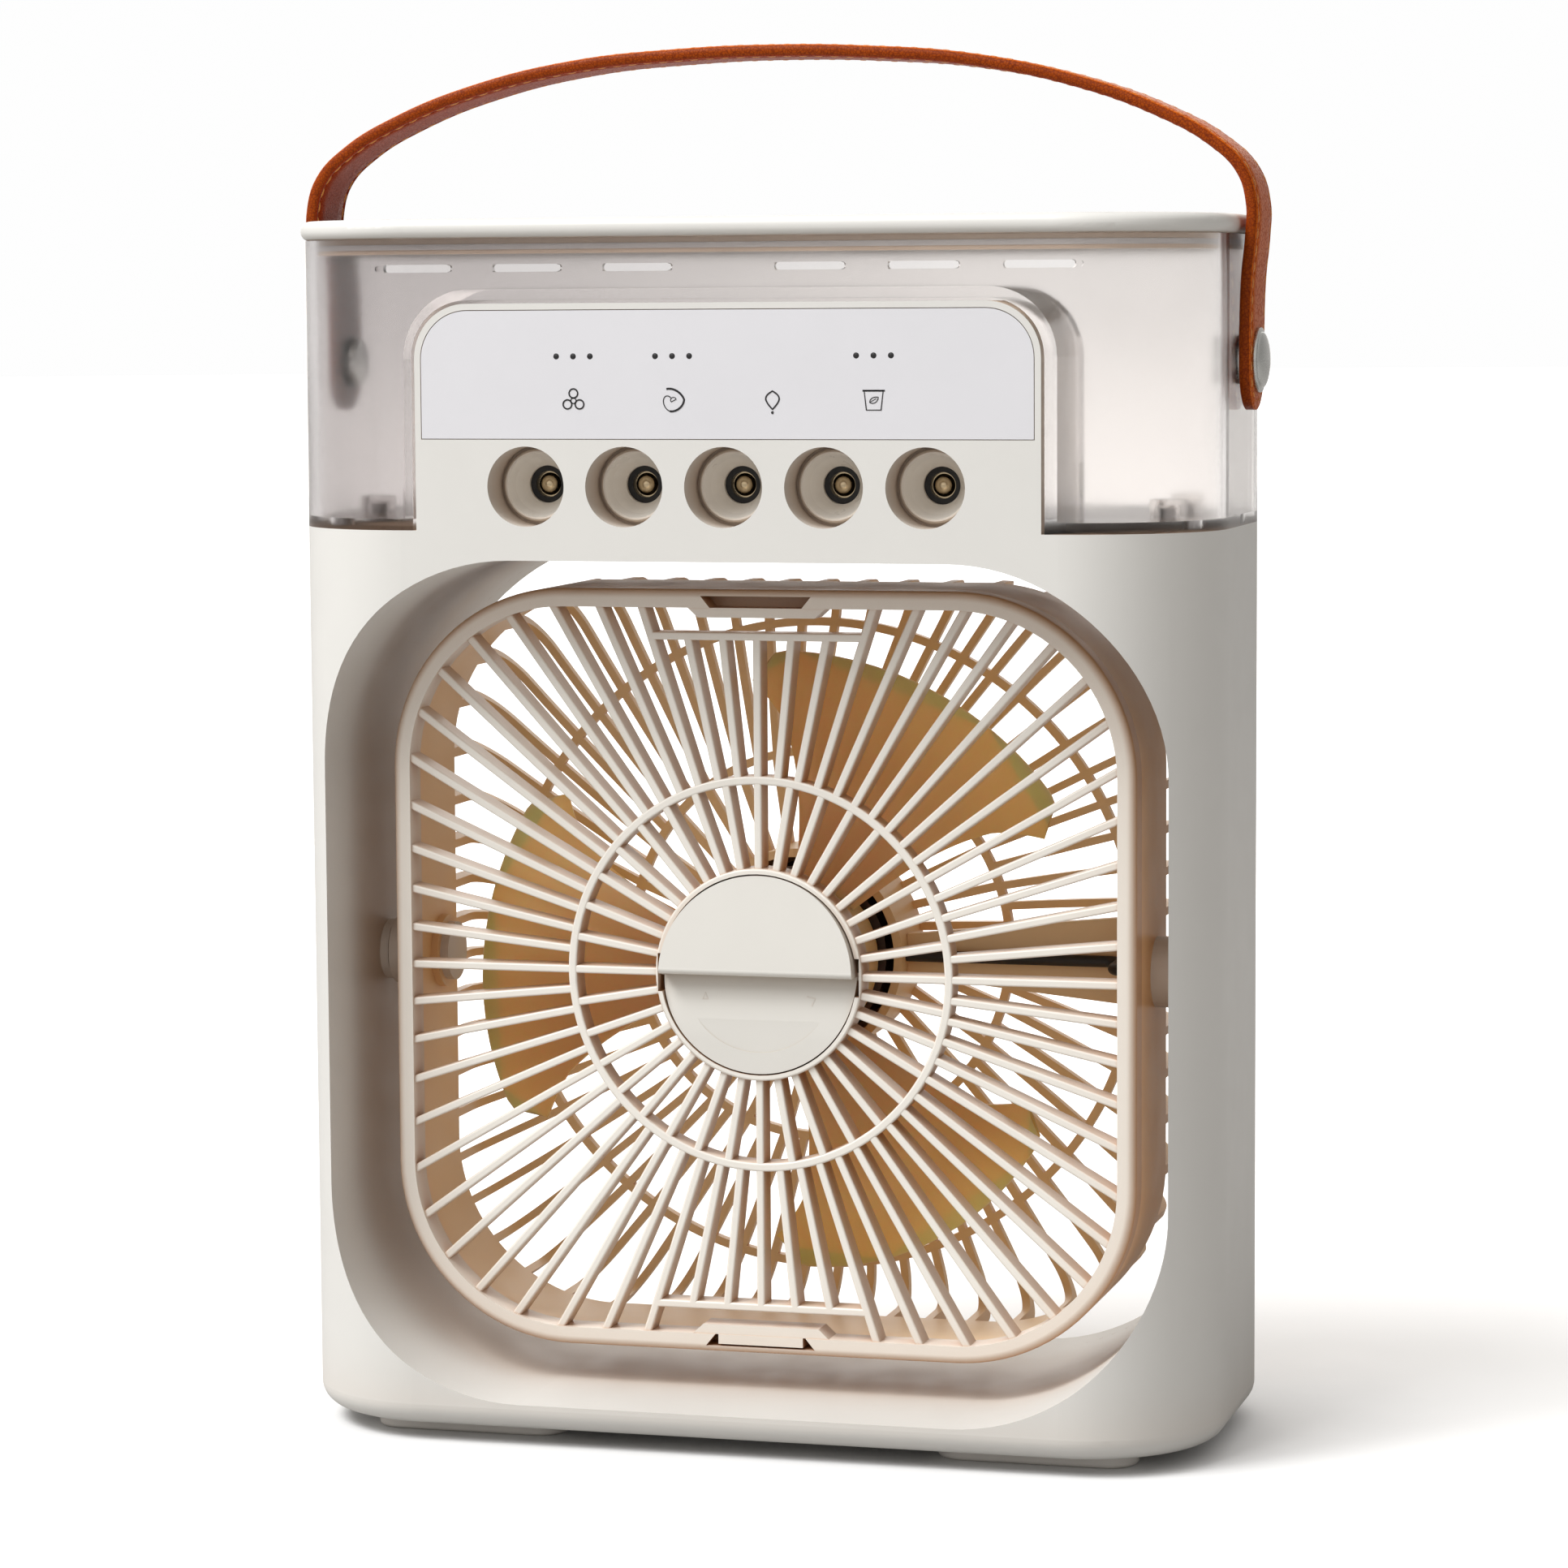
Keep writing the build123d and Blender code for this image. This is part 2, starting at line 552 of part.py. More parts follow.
def front_grille():
    """Rim, radial slats, ring and the seat of the centre knob."""
    rim = through(HEAD_W, HEAD_H, HEAD_R, HEAD_FRONT, GRILLE_BACK)
    rim = fillet(rim.faces().sort_by(Axis.Y)[0].edges(), 1.6)
    rim -= through(HEAD_W - 2 * RIM, HEAD_H - 2 * RIM, HEAD_R - RIM, HEAD_FRONT - 1, GRILLE_BACK + 1)
    top = HEAD_H / 2
    thick = block(-80, 80, HEAD_FRONT + 0.4, GRILLE_BACK, 0, 170)
    for up in (-1, 1):
        rim += notch_outline(up, NOTCH_HW + 3.0, 2.4, top - RIM - 1.8, top - RIM + 0.4, GRILLE_BACK) & thick
        rim -= notch_outline(up, NOTCH_HW, 1.8, top - 1.2 - NOTCH_HIGH, top - 1.2, GRILLE_BACK - NOTCH_FLOOR)
    y0 = HEAD_FRONT + 0.6
    y1 = y0 + SLAT_DEEP
    ring = tube_y(RING_R + 0.8, RING_R - 0.8, y0 - 0.1, y1)
    parts = [rim, fillet(ring.edges().filter_by(GeomType.CIRCLE).sort_by(Axis.Y)[:2], SLAT_ROUND)]
    step = 360 / OUTER_SLATS
    for i in range(OUTER_SLATS):
        angle = i * step
        off_top = abs((angle % 180) - 90)
        reach = rim_reach(angle)
        if off_top < 2.5 * step:
            reach = BAR_UP / math.cos(math.radians(off_top))
        parts.append(slat(RING_R, reach, angle, y0))
    for i in range(INNER_SLATS):
        parts.append(slat(SEAT_R - 0.6, RING_R, i * 360 / INNER_SLATS, y0))
    half = BAR_UP * math.tan(math.radians(3 * step))
    for up in (-1, 1):
        start = (-half, y0 + SLAT_DEEP / 2, HEAD_Z + up * BAR_UP)
        parts.append(soft_front(Plane(origin=start, x_dir=(0, 0, -1), z_dir=(1, 0, 0)), 2 * half))
    seat = rod_y(SEAT_R, HEAD_FRONT, GRILLE_BACK)
    seat = fillet(seat.edges().filter_by(GeomType.CIRCLE).sort_by(Axis.Y)[:1], SLAT_ROUND)
    seat -= rod_y(KNOB_R + 0.3, HEAD_FRONT - 1, GRILLE_BACK - 1.6)
    parts.append(seat)
    whole = parts[0] + parts[1:]
    for side in (-1, 1):
        x0, x1 = sorted(side * x for x in LUG_SLOT_X)
        whole -= block(x0, x1, HEAD_FRONT - 1, GRILLE_BACK - 1.6, HEAD_Z - LUG_SLOT_HH, HEAD_Z + LUG_SLOT_HH)
    return whole


def centre_knob():
    """Round cap: the upper half swells to a finger ledge, the lower half is scooped."""
    face = HEAD_FRONT + 0.2
    lip = face - 2.7
    back = GRILLE_BACK - 1.6
    end = KNOB_R + 1.0
    side_view = [Line((back, end), (face, end)), Line((face, end), (face, KNOB_R)),
                 ThreePointArc((face, KNOB_R), (face - 1.7, 9.0), (lip, 1.2)),
                 ThreePointArc((lip, 1.2), (lip + 0.2, 0.3), (lip + 0.9, 0.0)),
                 Line((lip + 0.9, 0.0), (face + 1.7, 0.0)),
                 ThreePointArc((face + 1.7, 0.0), (face + 0.5, -5.5), (face, -12.0)),
                 Line((face, -12.0), (face, -end)), Line((face, -end), (back, -end)),
                 Line((back, -end), (back, end))]
    plane = Plane(origin=(-30, 0, HEAD_Z), x_dir=(0, 1, 0), z_dir=(1, 0, 0))
    knob = extrude(plane * make_face(side_view), 60) & rod_y(KNOB_R, -40, 0)
    knob -= rod_y(SCOOP_R, face - 1, face + 0.15) & block(-20, 20, -40, 0, HEAD_Z - 20, HEAD_Z - 4)
    for lug in (-1, 1):
        x = lug * (KNOB_R + 0.2)
        knob += block(x - 0.5, x + 0.5, face + 1.9, back, HEAD_Z - 0.7, HEAD_Z + 0.7)
    return knob


def head_shell():
    """Duct round the impeller, with the pivot bores in its side walls."""
    shell = through(HEAD_W, HEAD_H, HEAD_R, GRILLE_BACK, SHELL_BACK)
    shell -= through(HEAD_W - 4.4, HEAD_H - 4.4, HEAD_R - 2.2, GRILLE_BACK - 1, SHELL_BACK + 1)
    for side in (-1, 1):
        pad = rod_x(7.0, side * (HEAD_W / 2 - PAD_DEEP), side * (HEAD_W / 2 - 1.5))
        shell += pad & block(-80, 80, GRILLE_BACK, SHELL_BACK, 0, 170)
        shell -= rod_x(PIVOT_BORE - 0.1, side * 60, side * 80)
    return shell


def grille_latch():
    """Snap tab of the grille in its lower notch; it stands on the notch's inner edge."""
    low = HEAD_H / 2 - 1.2 - NOTCH_HIGH
    tab = notch_outline(-1, NOTCH_HW - 2.4, 0.0, low, low + NOTCH_HIGH - 0.4, GRILLE_BACK - NOTCH_FLOOR)
    return tab & block(-80, 80, HEAD_FRONT + 0.2, 0, 0, 170)


def rib_strip(r0, r1, degrees, twist, thick):
    """Slightly swirled guard rib, as a flat strip extruded from front to back."""
    a = polar(r0, degrees + twist)
    m = polar((r0 + r1) / 2, degrees + twist * 0.35)
    b = polar(r1, degrees)
    along = math.atan2(b[1] - a[1], b[0] - a[0])
    nx = -math.sin(along) * thick / 2
    nz = math.cos(along) * thick / 2
    one = ThreePointArc((a[0] + nx, a[1] + nz), (m[0] + nx, m[1] + nz), (b[0] + nx, b[1] + nz))
    two = ThreePointArc((b[0] - nx, b[1] - nz), (m[0] - nx, m[1] - nz), (a[0] - nx, a[1] - nz))
    loop = Curve() + [one, Line(one @ 1, two @ 0), two, Line(two @ 1, one @ 0)]
    plane = Plane(origin=(0, GUARD_BACK + 1, HEAD_Z), x_dir=(1, 0, 0), z_dir=(0, -1, 0))
    return extrude(plane * make_face(loop), GUARD_BACK + 1 - SHELL_BACK)


def rear_guard():
    """Caged back: ribs that start on the side walls and turn in to the motor cup."""
    outer = through(HEAD_W, HEAD_H, HEAD_R, SHELL_BACK, GUARD_BACK)
    outer = fillet(outer.faces().sort_by(Axis.Y)[-1].edges(), GUARD_ROUND)
    cut = 2 * GUARD_T
    inner = through(HEAD_W - cut, HEAD_H - cut, HEAD_R - GUARD_T, SHELL_BACK - 3, GUARD_BACK - GUARD_T)
    inner = fillet(inner.faces().sort_by(Axis.Y)[-1].edges(), GUARD_ROUND - GUARD_T)
    dish = outer - inner
    frame = dish & block(-80, 80, SHELL_BACK, SHELL_BACK + 2.4, 0, 170)
    strips = []
    for i in range(GUARD_RIBS):
        strips.append(rib_strip(RING_R + 1.2, 100.0, i * 360 / GUARD_RIBS, 7.0, 1.5))
    for i in range(GUARD_RIBS // 2):
        strips.append(rib_strip(CUP_R - 1.0, RING_R + 2.0, 7.0 + i * 720 / GUARD_RIBS, 5.0, 1.6))
    strips.append(tube_y(REAR_RING_R + 0.8, REAR_RING_R - 0.8, SHELL_BACK + 1, GUARD_BACK + 1))
    strips.append(tube_y(RING_R + 2.4, RING_R + 0.8, SHELL_BACK + 1, GUARD_BACK + 1))
    cage = dish & (strips[0] + strips[1:])
    cup = rod_y(CUP_R, 10.0, GUARD_BACK) - rod_y(CUP_R - 1.6, 9.0, GUARD_BACK - 2.0)
    for x in (-MOTOR_SCREW_X, MOTOR_SCREW_X):
        cup -= rod_y(MOTOR_SCREW_R + RUN_FIT, 20, 30, x)
    return cage + [frame, cup]


def motor():
    can = rod_y(MOTOR_R, MOTOR_FRONT, GUARD_BACK - 2.0) + rod_y(4.0, MOTOR_FRONT - 1.5, MOTOR_FRONT)
    can = fillet(can.edges().filter_by(GeomType.CIRCLE).sort_by(Axis.Y)[-1:], 1.0)
    can -= rod_y(SHAFT_R + RUN_FIT, MOTOR_FRONT - 2.5, SHAFT_BACK)
    for x in (-MOTOR_SCREW_X, MOTOR_SCREW_X):
        can -= rod_y(MOTOR_SCREW_R + RUN_FIT, 20, 30, x)
    return can


def motor_screws():
    return group([rod_y(MOTOR_SCREW_R, 21.0, GUARD_BACK, x) + rod_y(2.2, GUARD_BACK, GUARD_BACK + 1.2, x)
                  for x in (-MOTOR_SCREW_X, MOTOR_SCREW_X)])


def motor_arm():
    """Flat arm that carries the motor's lead from the cup to the right wall."""
    plane = Plane(origin=(0, ARM_BACK, HEAD_Z), x_dir=(1, 0, 0), z_dir=(0, -1, 0))
    root, end = CUP_R - 0.2, HEAD_W / 2 - 2.1
    outline = Polyline((root, -4.0), (end, -9.0), (end, 9.0), (root, 4.0), close=True)
    arm = extrude(plane * make_face(outline), ARM_T)
    return arm - rod_y(CUP_R + 0.02, 5, 30)


def motor_lead():
    """Two-core lead from the motor along the arm and out through the hollow pin."""
    turn_x = 62.6
    run_y = ARM_BACK - ARM_T - LEAD_R - 0.3
    points = [(CUP_R + 0.05, run_y, HEAD_Z), (turn_x, run_y, HEAD_Z), (turn_x, PIVOT_Y, HEAD_Z),
              (LEAD_END, PIVOT_Y, HEAD_Z)]
    path = FilletPolyline(*points, radius=3.0)
    start = Plane(origin=points[0], z_dir=(1, 0, 0))
    return sweep(start * Circle(LEAD_R), path=path)


def pivot_pin(side):
    """Pin of the head, with a collar outside the wall and a nut face inside."""
    r = PIVOT_BORE - RUN_FIT
    wall = HEAD_W / 2
    pin = rod_x(r, side * wall, side * PIN_END)
    neck = rod_x(PIVOT_BORE - 0.1, side * (wall - PAD_DEEP), side * wall)
    collar = rod_x(6.6, side * wall, side * (WIN_W / 2 - 2.0))
    inner = rod_x(5.6, side * (wall - PAD_DEEP), side * (wall - PAD_DEEP - 1.6))
    whole = pin + neck + collar + inner
    if side > 0:
        whole -= rod_x(LEAD_R + RUN_FIT, 60, LEAD_END)
    return whole


# ---- Impeller ------------------------------------------------------------

def blade(degrees):
    """One broad blade: a pitched plate trimmed to a rounded sector."""
    lead = 31.0
    plane = Plane(origin=(0, 30, HEAD_Z), x_dir=(1, 0, 0), z_dir=(0, -1, 0))
    edge = Polyline(polar(HUB_R - 3, -20), polar(44, -lead - 2), polar(BLADE_R + 4, -lead + 2),
                    polar(BLADE_R + 16, 0), polar(BLADE_R + 4, lead - 2), polar(44, lead + 2),
                    polar(HUB_R - 3, 20), close=True)
    outline = extrude(plane * make_face(edge), 60) & rod_y(BLADE_R, -40, 40)
    plate = Pos(40, 0, 0) * Box(60, BLADE_T, 90)
    plate = Pos(0, -1.0, HEAD_Z) * Rot(BLADE_PITCH, 0, 0) * plate
    flat = outline & plate
    return Pos(0, 0, HEAD_Z) * Rot(0, degrees, 0) * Pos(0, 0, -HEAD_Z) * flat


def impeller():
    room = HUB_FRONT + HUB_WALL
    hub = rod_y(HUB_R, HUB_FRONT, HUB_BACK) - rod_y(HUB_R - HUB_WALL, room, HUB_BACK + 1.5)
    hub = fillet(hub.edges().filter_by(GeomType.CIRCLE).sort_by(Axis.Y)[:1], 2.5)
    hub += rod_y(SLEEVE_R, room - 0.1, HUB_BACK - 1.5)
    blades = []
    for i in range(BLADES):
        blades.append(blade(-60.0 + i * 360 / BLADES) - rod_y(HUB_R - 1.0, -30, 30))
    return hub + blades - rod_y(SHAFT_R, -20, 20)


def motor_shaft():
    return rod_y(SHAFT_R, HUB_FRONT - 3.0, SHAFT_BACK)


def hub_nut():
    seat = Plane(origin=(0, HUB_FRONT, HEAD_Z), x_dir=(1, 0, 0), z_dir=(0, -1, 0))
    return extrude(seat * RegularPolygon(4.0, 6), 2.6) - rod_y(SHAFT_R, -20, 20)


# ---- Strap ---------------------------------------------------------------
def strap_line():
    """Half of the strap's middle line, from the rivet end to the top."""
    half_t = STRAP_T / 2
    crown = STRAP_TOP - half_t
    return [(STRAP_X, STRAP_BEND), (89.5, 216.0), (90.2, 223.0), (90.3, 229.0), (88.4, 235.0),
            (83.0, 240.3), (73.5, 245.6), (58.0, 251.3), (38.0, 255.6), (18.0, crown - 0.5), (0.0, crown)]


def handle_strap():
    """Leather band bent over the lid, with a rounded tab and a hole at each rivet."""
    half = strap_line()
    points = [(-x, z) for x, z in half] + [(x, z) for x, z in reversed(half[:-1])]
    arch = Spline(*points, tangents=[(0, 1), (0, -1)])
    legs = [Line((x, STRAP_LOW), (x, STRAP_BEND)) for x in (-STRAP_X, STRAP_X)]
    plane = Plane(origin=(0, STRAP_W / 2, 0), x_dir=(1, 0, 0), z_dir=(0, -1, 0))
    band = extrude(plane * trace([arch], STRAP_T), STRAP_W)
    for leg in legs:
        band += extrude(plane * trace([leg], STRAP_T), STRAP_W)
    tab_r = STRAP_W / 2
    side = Plane(origin=(-100, 0, 0), x_dir=(0, 1, 0), z_dir=(1, 0, 0))
    profile = Pos(0, STRAP_LOW + tab_r) * Circle(tab_r)
    profile += Pos(0, STRAP_LOW + tab_r + 50) * Rectangle(STRAP_W, 100)
    band &= extrude(side * profile, 200)
    return band - rod_x(SHANK_R + RUN_FIT, -95, 95, 0, RIVET_Z)


def left_rivet():
    """Domed rivet through the strap and the tank wall."""
    head_x = STRAP_X + STRAP_T / 2 + 0.15
    dome = Pos(RIVET_DOME - head_x - 2.0, 0, RIVET_Z) * Sphere(RIVET_DOME)
    dome &= rod_x(RIVET_R, -head_x, -100, 0, RIVET_Z)
    inside = BODY_W / 2 - TANK_T
    shank = rod_x(SHANK_R, -inside + 1.4, -head_x - 0.3, 0, RIVET_Z)
    foot = rod_x(4.5, -inside + 1.5, -inside, 0, RIVET_Z)
    return dome + shank + foot


def rivet_washer(side):
    washer = rod_x(5.0, side * BODY_W / 2, side * (BODY_W / 2 + 0.4), 0, RIVET_Z)
    return washer - rod_x(SHANK_R + RUN_FIT, side * 80, side * 92, 0, RIVET_Z)


def build_all():
    body = housing()
    return {
        "front_shell": body & half_space(True),
        "rear_shell": body & half_space(False),
        "base_cover": base_cover(),
        "foot_pads": foot_pads(),
        "base_screws": base_screws(),
        "rear_screws": rear_screws(),
        "usb_socket": usb_socket(),
        "power_board": power_board(),
        "pivot_bush_left": pivot_bush(-1),
        "pivot_bush_right": pivot_bush(1),
        "water_tank": water_tank(),
        "tank_screws": tank_screws(),
        "tank_lid": lid(),
        "lid_seal": lid_seal(),
        "control_module": control_module(),
        "module_back": module_back(),
        "module_screws": module_screws(),
        "control_overlay": control_overlay(),
        "control_board": control_board(),
        "touch_pads": touch_pads(),
        "indicator_leds": indicator_leds(),
        "nozzle_cups": nozzle_cups(),
        "mist_discs": mist_discs(),
        "disc_seals": disc_seals(),
        "wick_sticks": wick_sticks(),
        "wick_grommets": wick_grommets(),
        "light_board": light_board(),
        "light_guide": light_guide(),
        "front_grille": front_grille(),
        "grille_latch": grille_latch(),
        "centre_knob": centre_knob(),
        "head_shell": head_shell(),
        "rear_guard": rear_guard(),
        "motor": motor(),
        "motor_screws": motor_screws(),
        "motor_arm": motor_arm(),
        "motor_lead": motor_lead(),
        "pivot_pin_left": pivot_pin(-1),
        "pivot_pin_right": pivot_pin(1),
        "impeller": impeller(),
        "motor_shaft": motor_shaft(),
        "hub_nut": hub_nut(),
        "handle_strap": handle_strap(),
        "rivet_left": left_rivet(),
        "rivet_right": mirror(left_rivet(), Plane.YZ),
        "rivet_washer_left": rivet_washer(-1),
        "rivet_washer_right": rivet_washer(1),
    }


os.makedirs("parts", exist_ok=True)
for name, shape in build_all().items():
    export_step(shape, f"parts/{name}.step")
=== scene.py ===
"""Looks of the desktop mist fan: leather strap, rivets, impeller and printed marks as
finer pieces, and a procedural finish for every moulded, metal and rubber part."""
import json
import math

import bmesh
import bpy
from mathutils import Matrix, Vector
from mathutils.bvhtree import BVHTree


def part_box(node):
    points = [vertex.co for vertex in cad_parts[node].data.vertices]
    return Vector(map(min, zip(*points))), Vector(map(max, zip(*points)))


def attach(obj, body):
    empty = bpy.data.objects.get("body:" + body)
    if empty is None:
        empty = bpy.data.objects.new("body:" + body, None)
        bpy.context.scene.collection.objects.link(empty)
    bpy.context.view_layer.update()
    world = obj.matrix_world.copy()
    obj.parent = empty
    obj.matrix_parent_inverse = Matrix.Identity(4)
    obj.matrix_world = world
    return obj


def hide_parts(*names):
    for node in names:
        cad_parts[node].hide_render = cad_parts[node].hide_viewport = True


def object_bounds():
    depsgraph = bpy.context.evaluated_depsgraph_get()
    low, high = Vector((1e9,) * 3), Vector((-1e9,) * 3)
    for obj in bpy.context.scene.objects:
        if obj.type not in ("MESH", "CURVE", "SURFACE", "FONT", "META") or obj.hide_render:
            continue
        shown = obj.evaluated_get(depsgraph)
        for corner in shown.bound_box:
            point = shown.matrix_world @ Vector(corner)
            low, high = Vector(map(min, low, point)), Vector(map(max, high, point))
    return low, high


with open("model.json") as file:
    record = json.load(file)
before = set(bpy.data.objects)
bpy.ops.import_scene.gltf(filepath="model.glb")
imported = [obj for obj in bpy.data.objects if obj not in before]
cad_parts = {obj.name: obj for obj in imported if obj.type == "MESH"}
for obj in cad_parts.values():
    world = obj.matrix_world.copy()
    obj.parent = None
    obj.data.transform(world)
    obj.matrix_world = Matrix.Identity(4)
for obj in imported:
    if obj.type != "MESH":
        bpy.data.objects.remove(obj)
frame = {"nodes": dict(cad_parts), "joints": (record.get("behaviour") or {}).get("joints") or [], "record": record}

CAD_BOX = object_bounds()
MM = 0.001
NODES = frame["nodes"]


def middle(node):
    low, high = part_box(node)
    return (low + high) / 2


def joint_place(name):
    return Vector(next(j for j in frame["joints"] if j["name"] == name)["pos_m"])


# ---- Mesh helpers ----------------------------------------------------------
def piece(name, mesh, body, slot, *materials):
    """A finished mesh as an object that rides on a body."""
    obj = bpy.data.objects.new(name, mesh)
    bpy.context.scene.collection.objects.link(obj)
    for material in materials:
        mesh.materials.append(material)
    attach(obj, body)
    return obj


def mesh_of(bm, name, smooth_below=40.0):
    """Writes a bmesh out; edges sharper than the given angle stay crisp."""
    bmesh.ops.recalc_face_normals(bm, faces=bm.faces)
    limit = math.radians(smooth_below)
    for face in bm.faces:
        face.smooth = True
    for edge in bm.edges:
        if len(edge.link_faces) == 2 and edge.calc_face_angle(0.0) > limit:
            edge.smooth = False
    mesh = bpy.data.meshes.new(name)
    bm.to_mesh(mesh)
    bm.free()
    return mesh


def skin(bm, rings, close_ring=True, caps=True):
    """Joins rings of points, each with the same count, into a tube; returns its faces by ring."""
    made = [[bm.verts.new(p) for p in ring] for ring in rings]
    rows = []
    count = len(made[0])
    spans = count if close_ring else count - 1
    for a, b in zip(made, made[1:]):
        rows.append([bm.faces.new((a[i], a[(i + 1) % count], b[(i + 1) % count], b[i]))
                     for i in range(spans)])
    if caps:
        bm.faces.new(made[0])
        bm.faces.new(list(reversed(made[-1])))
    return rows


def skin_closed(bm, rings):
    """Joins rings of points into a closed loop of tube, whose last ring meets its first."""
    made = [[bm.verts.new(p) for p in ring] for ring in rings]
    count = len(made[0])
    for a, b in zip(made, made[1:] + made[:1]):
        for i in range(count):
            bm.faces.new((a[i], a[(i + 1) % count], b[(i + 1) % count], b[i]))


def lathe(bm, profile, centre, axis, steps=64):
    """Turns (radius, height) points round an axis; a radius of 0 closes the end."""
    turn = Vector((0, 0, 1)).rotation_difference(Vector(axis)).to_matrix()
    rings = []
    for radius, height in profile:
        r = max(radius, 0.01 * MM)
        rings.append([centre + turn @ Vector((r * math.cos(a), r * math.sin(a), height))
                      for a in (2 * math.pi * i / steps for i in range(steps))])
    skin(bm, rings)


# ---- Effects that materials share ------------------------------------------
class Net:
    """Short hand for adding and linking nodes in one tree."""

    def __init__(self, tree):
        self.tree = tree

    def add(self, kind, values=None, **settings):
        node = self.tree.nodes.new(kind)
        for key, value in settings.items():
            setattr(node, key, value)
        for key, value in (values or {}).items():
            if isinstance(value, bpy.types.NodeSocket):
                self.tree.links.new(value, node.inputs[key])
            else:
                node.inputs[key].default_value = value
        return node

    def math(self, operation, a, b=0.0):
        return self.add("ShaderNodeMath", {0: a, 1: b}, operation=operation).outputs[0]

    def blend(self, share, a, b, kind="MIX"):
        """Mixes two colours."""
        node = self.add("ShaderNodeMix", {0: share, 6: a, 7: b}, data_type="RGBA", blend_type=kind)
        return node.outputs[2]

    def noise(self, where, scale, detail=2.0, roughness=0.5):
        values = {"Vector": where, "Scale": scale, "Detail": detail, "Roughness": roughness}
        return self.add("ShaderNodeTexNoise", values).outputs["Fac"]

    def spread(self, value, low, high, to_low=0.0, to_high=1.0):
        values = {0: value, 1: low, 2: high, 3: to_low, 4: to_high}
        return self.add("ShaderNodeMapRange", values).outputs[0]


def effect(name, inputs, outputs):
    """An empty node group with named sockets; returns it with its input and output nodes."""
    group = bpy.data.node_groups.new(name, "ShaderNodeTree")
    for label, kind, value in inputs:
        socket = group.interface.new_socket(name=label, in_out="INPUT", socket_type="NodeSocket" + kind)
        socket.default_value = value
    for label, kind in outputs:
        group.interface.new_socket(name=label, in_out="OUTPUT", socket_type="NodeSocket" + kind)
    net = Net(group)
    return net, net.add("NodeGroupInput").outputs, net.add("NodeGroupOutput").inputs


# Heights over which the moulded skin's painted shade fades in; below them there is none.
FOOT_FADE = (5.5 * MM, 7.8 * MM)     # near the floor the hollows' tone fades away


def make_moulded_effect():
    """Fine tool texture, a little cloudiness, and a painted warm shade in hollows, where the light has to bounce.
    """
    net, given, out = effect("moulded skin", [
        ("Colour", "Color", (0.8, 0.8, 0.8, 1)), ("Painted Shade Colour", "Color", (0.6, 0.5, 0.4, 1)),
        ("Painted Shade Reach", "Float", 0.02), ("Painted Shade Share", "Float", 0.5), ("Roughness", "Float", 0.4),
        ("Grain Scale", "Float", 2500.0), ("Grain Depth", "Float", 0.05)],
        [("Colour", "Color"), ("Roughness", "Float"), ("Normal", "Vector")])
    where = net.add("ShaderNodeTexCoord").outputs["Object"]
    # Painted shade: occlusion finds hollows, corners and gaps, and the painted shade colour is mixed in there.
    shelter = net.add("ShaderNodeAmbientOcclusion", {"Distance": given["Painted Shade Reach"]}, samples=8)
    hidden = net.math("SUBTRACT", 1.0, shelter.outputs["AO"])
    height = net.add("ShaderNodeSeparateXYZ", {0: where}).outputs["Z"]
    # How strongly the painted shade shows, faded out near the floor.
    share = net.math("MULTIPLY", given["Painted Shade Share"], net.spread(height, *FOOT_FADE))
    painted_shade_mix = net.math("MULTIPLY", net.math("POWER", hidden, 1.3), share)
    tone = net.blend(painted_shade_mix, given["Colour"], given["Painted Shade Colour"])
    cloud = net.spread(net.noise(where, 22.0, 3.0), 0.3, 0.7, 0.975, 1.0)
    flow = net.spread(net.noise(where, 140.0, 2.0), 0.3, 0.7, 0.99, 1.0)
    shade = net.math("MULTIPLY", cloud, flow)
    shaded = net.add("ShaderNodeCombineColor", {0: shade, 1: shade, 2: shade}).outputs[0]
    net.tree.links.new(net.blend(1.0, tone, shaded, "MULTIPLY"), out["Colour"])
    rub = net.spread(net.noise(where, 90.0, 4.0, 0.6), 0.35, 0.7, -0.03, 0.05)
    net.tree.links.new(net.math("ADD", given["Roughness"], rub), out["Roughness"])
    grain = net.noise(where, given["Grain Scale"], 2.0, 0.7)
    bump = net.add("ShaderNodeBump", {"Strength": given["Grain Depth"], "Distance": 0.00008,
                                      "Height": grain})
    net.tree.links.new(bump.outputs[0], out["Normal"])
    return net.tree


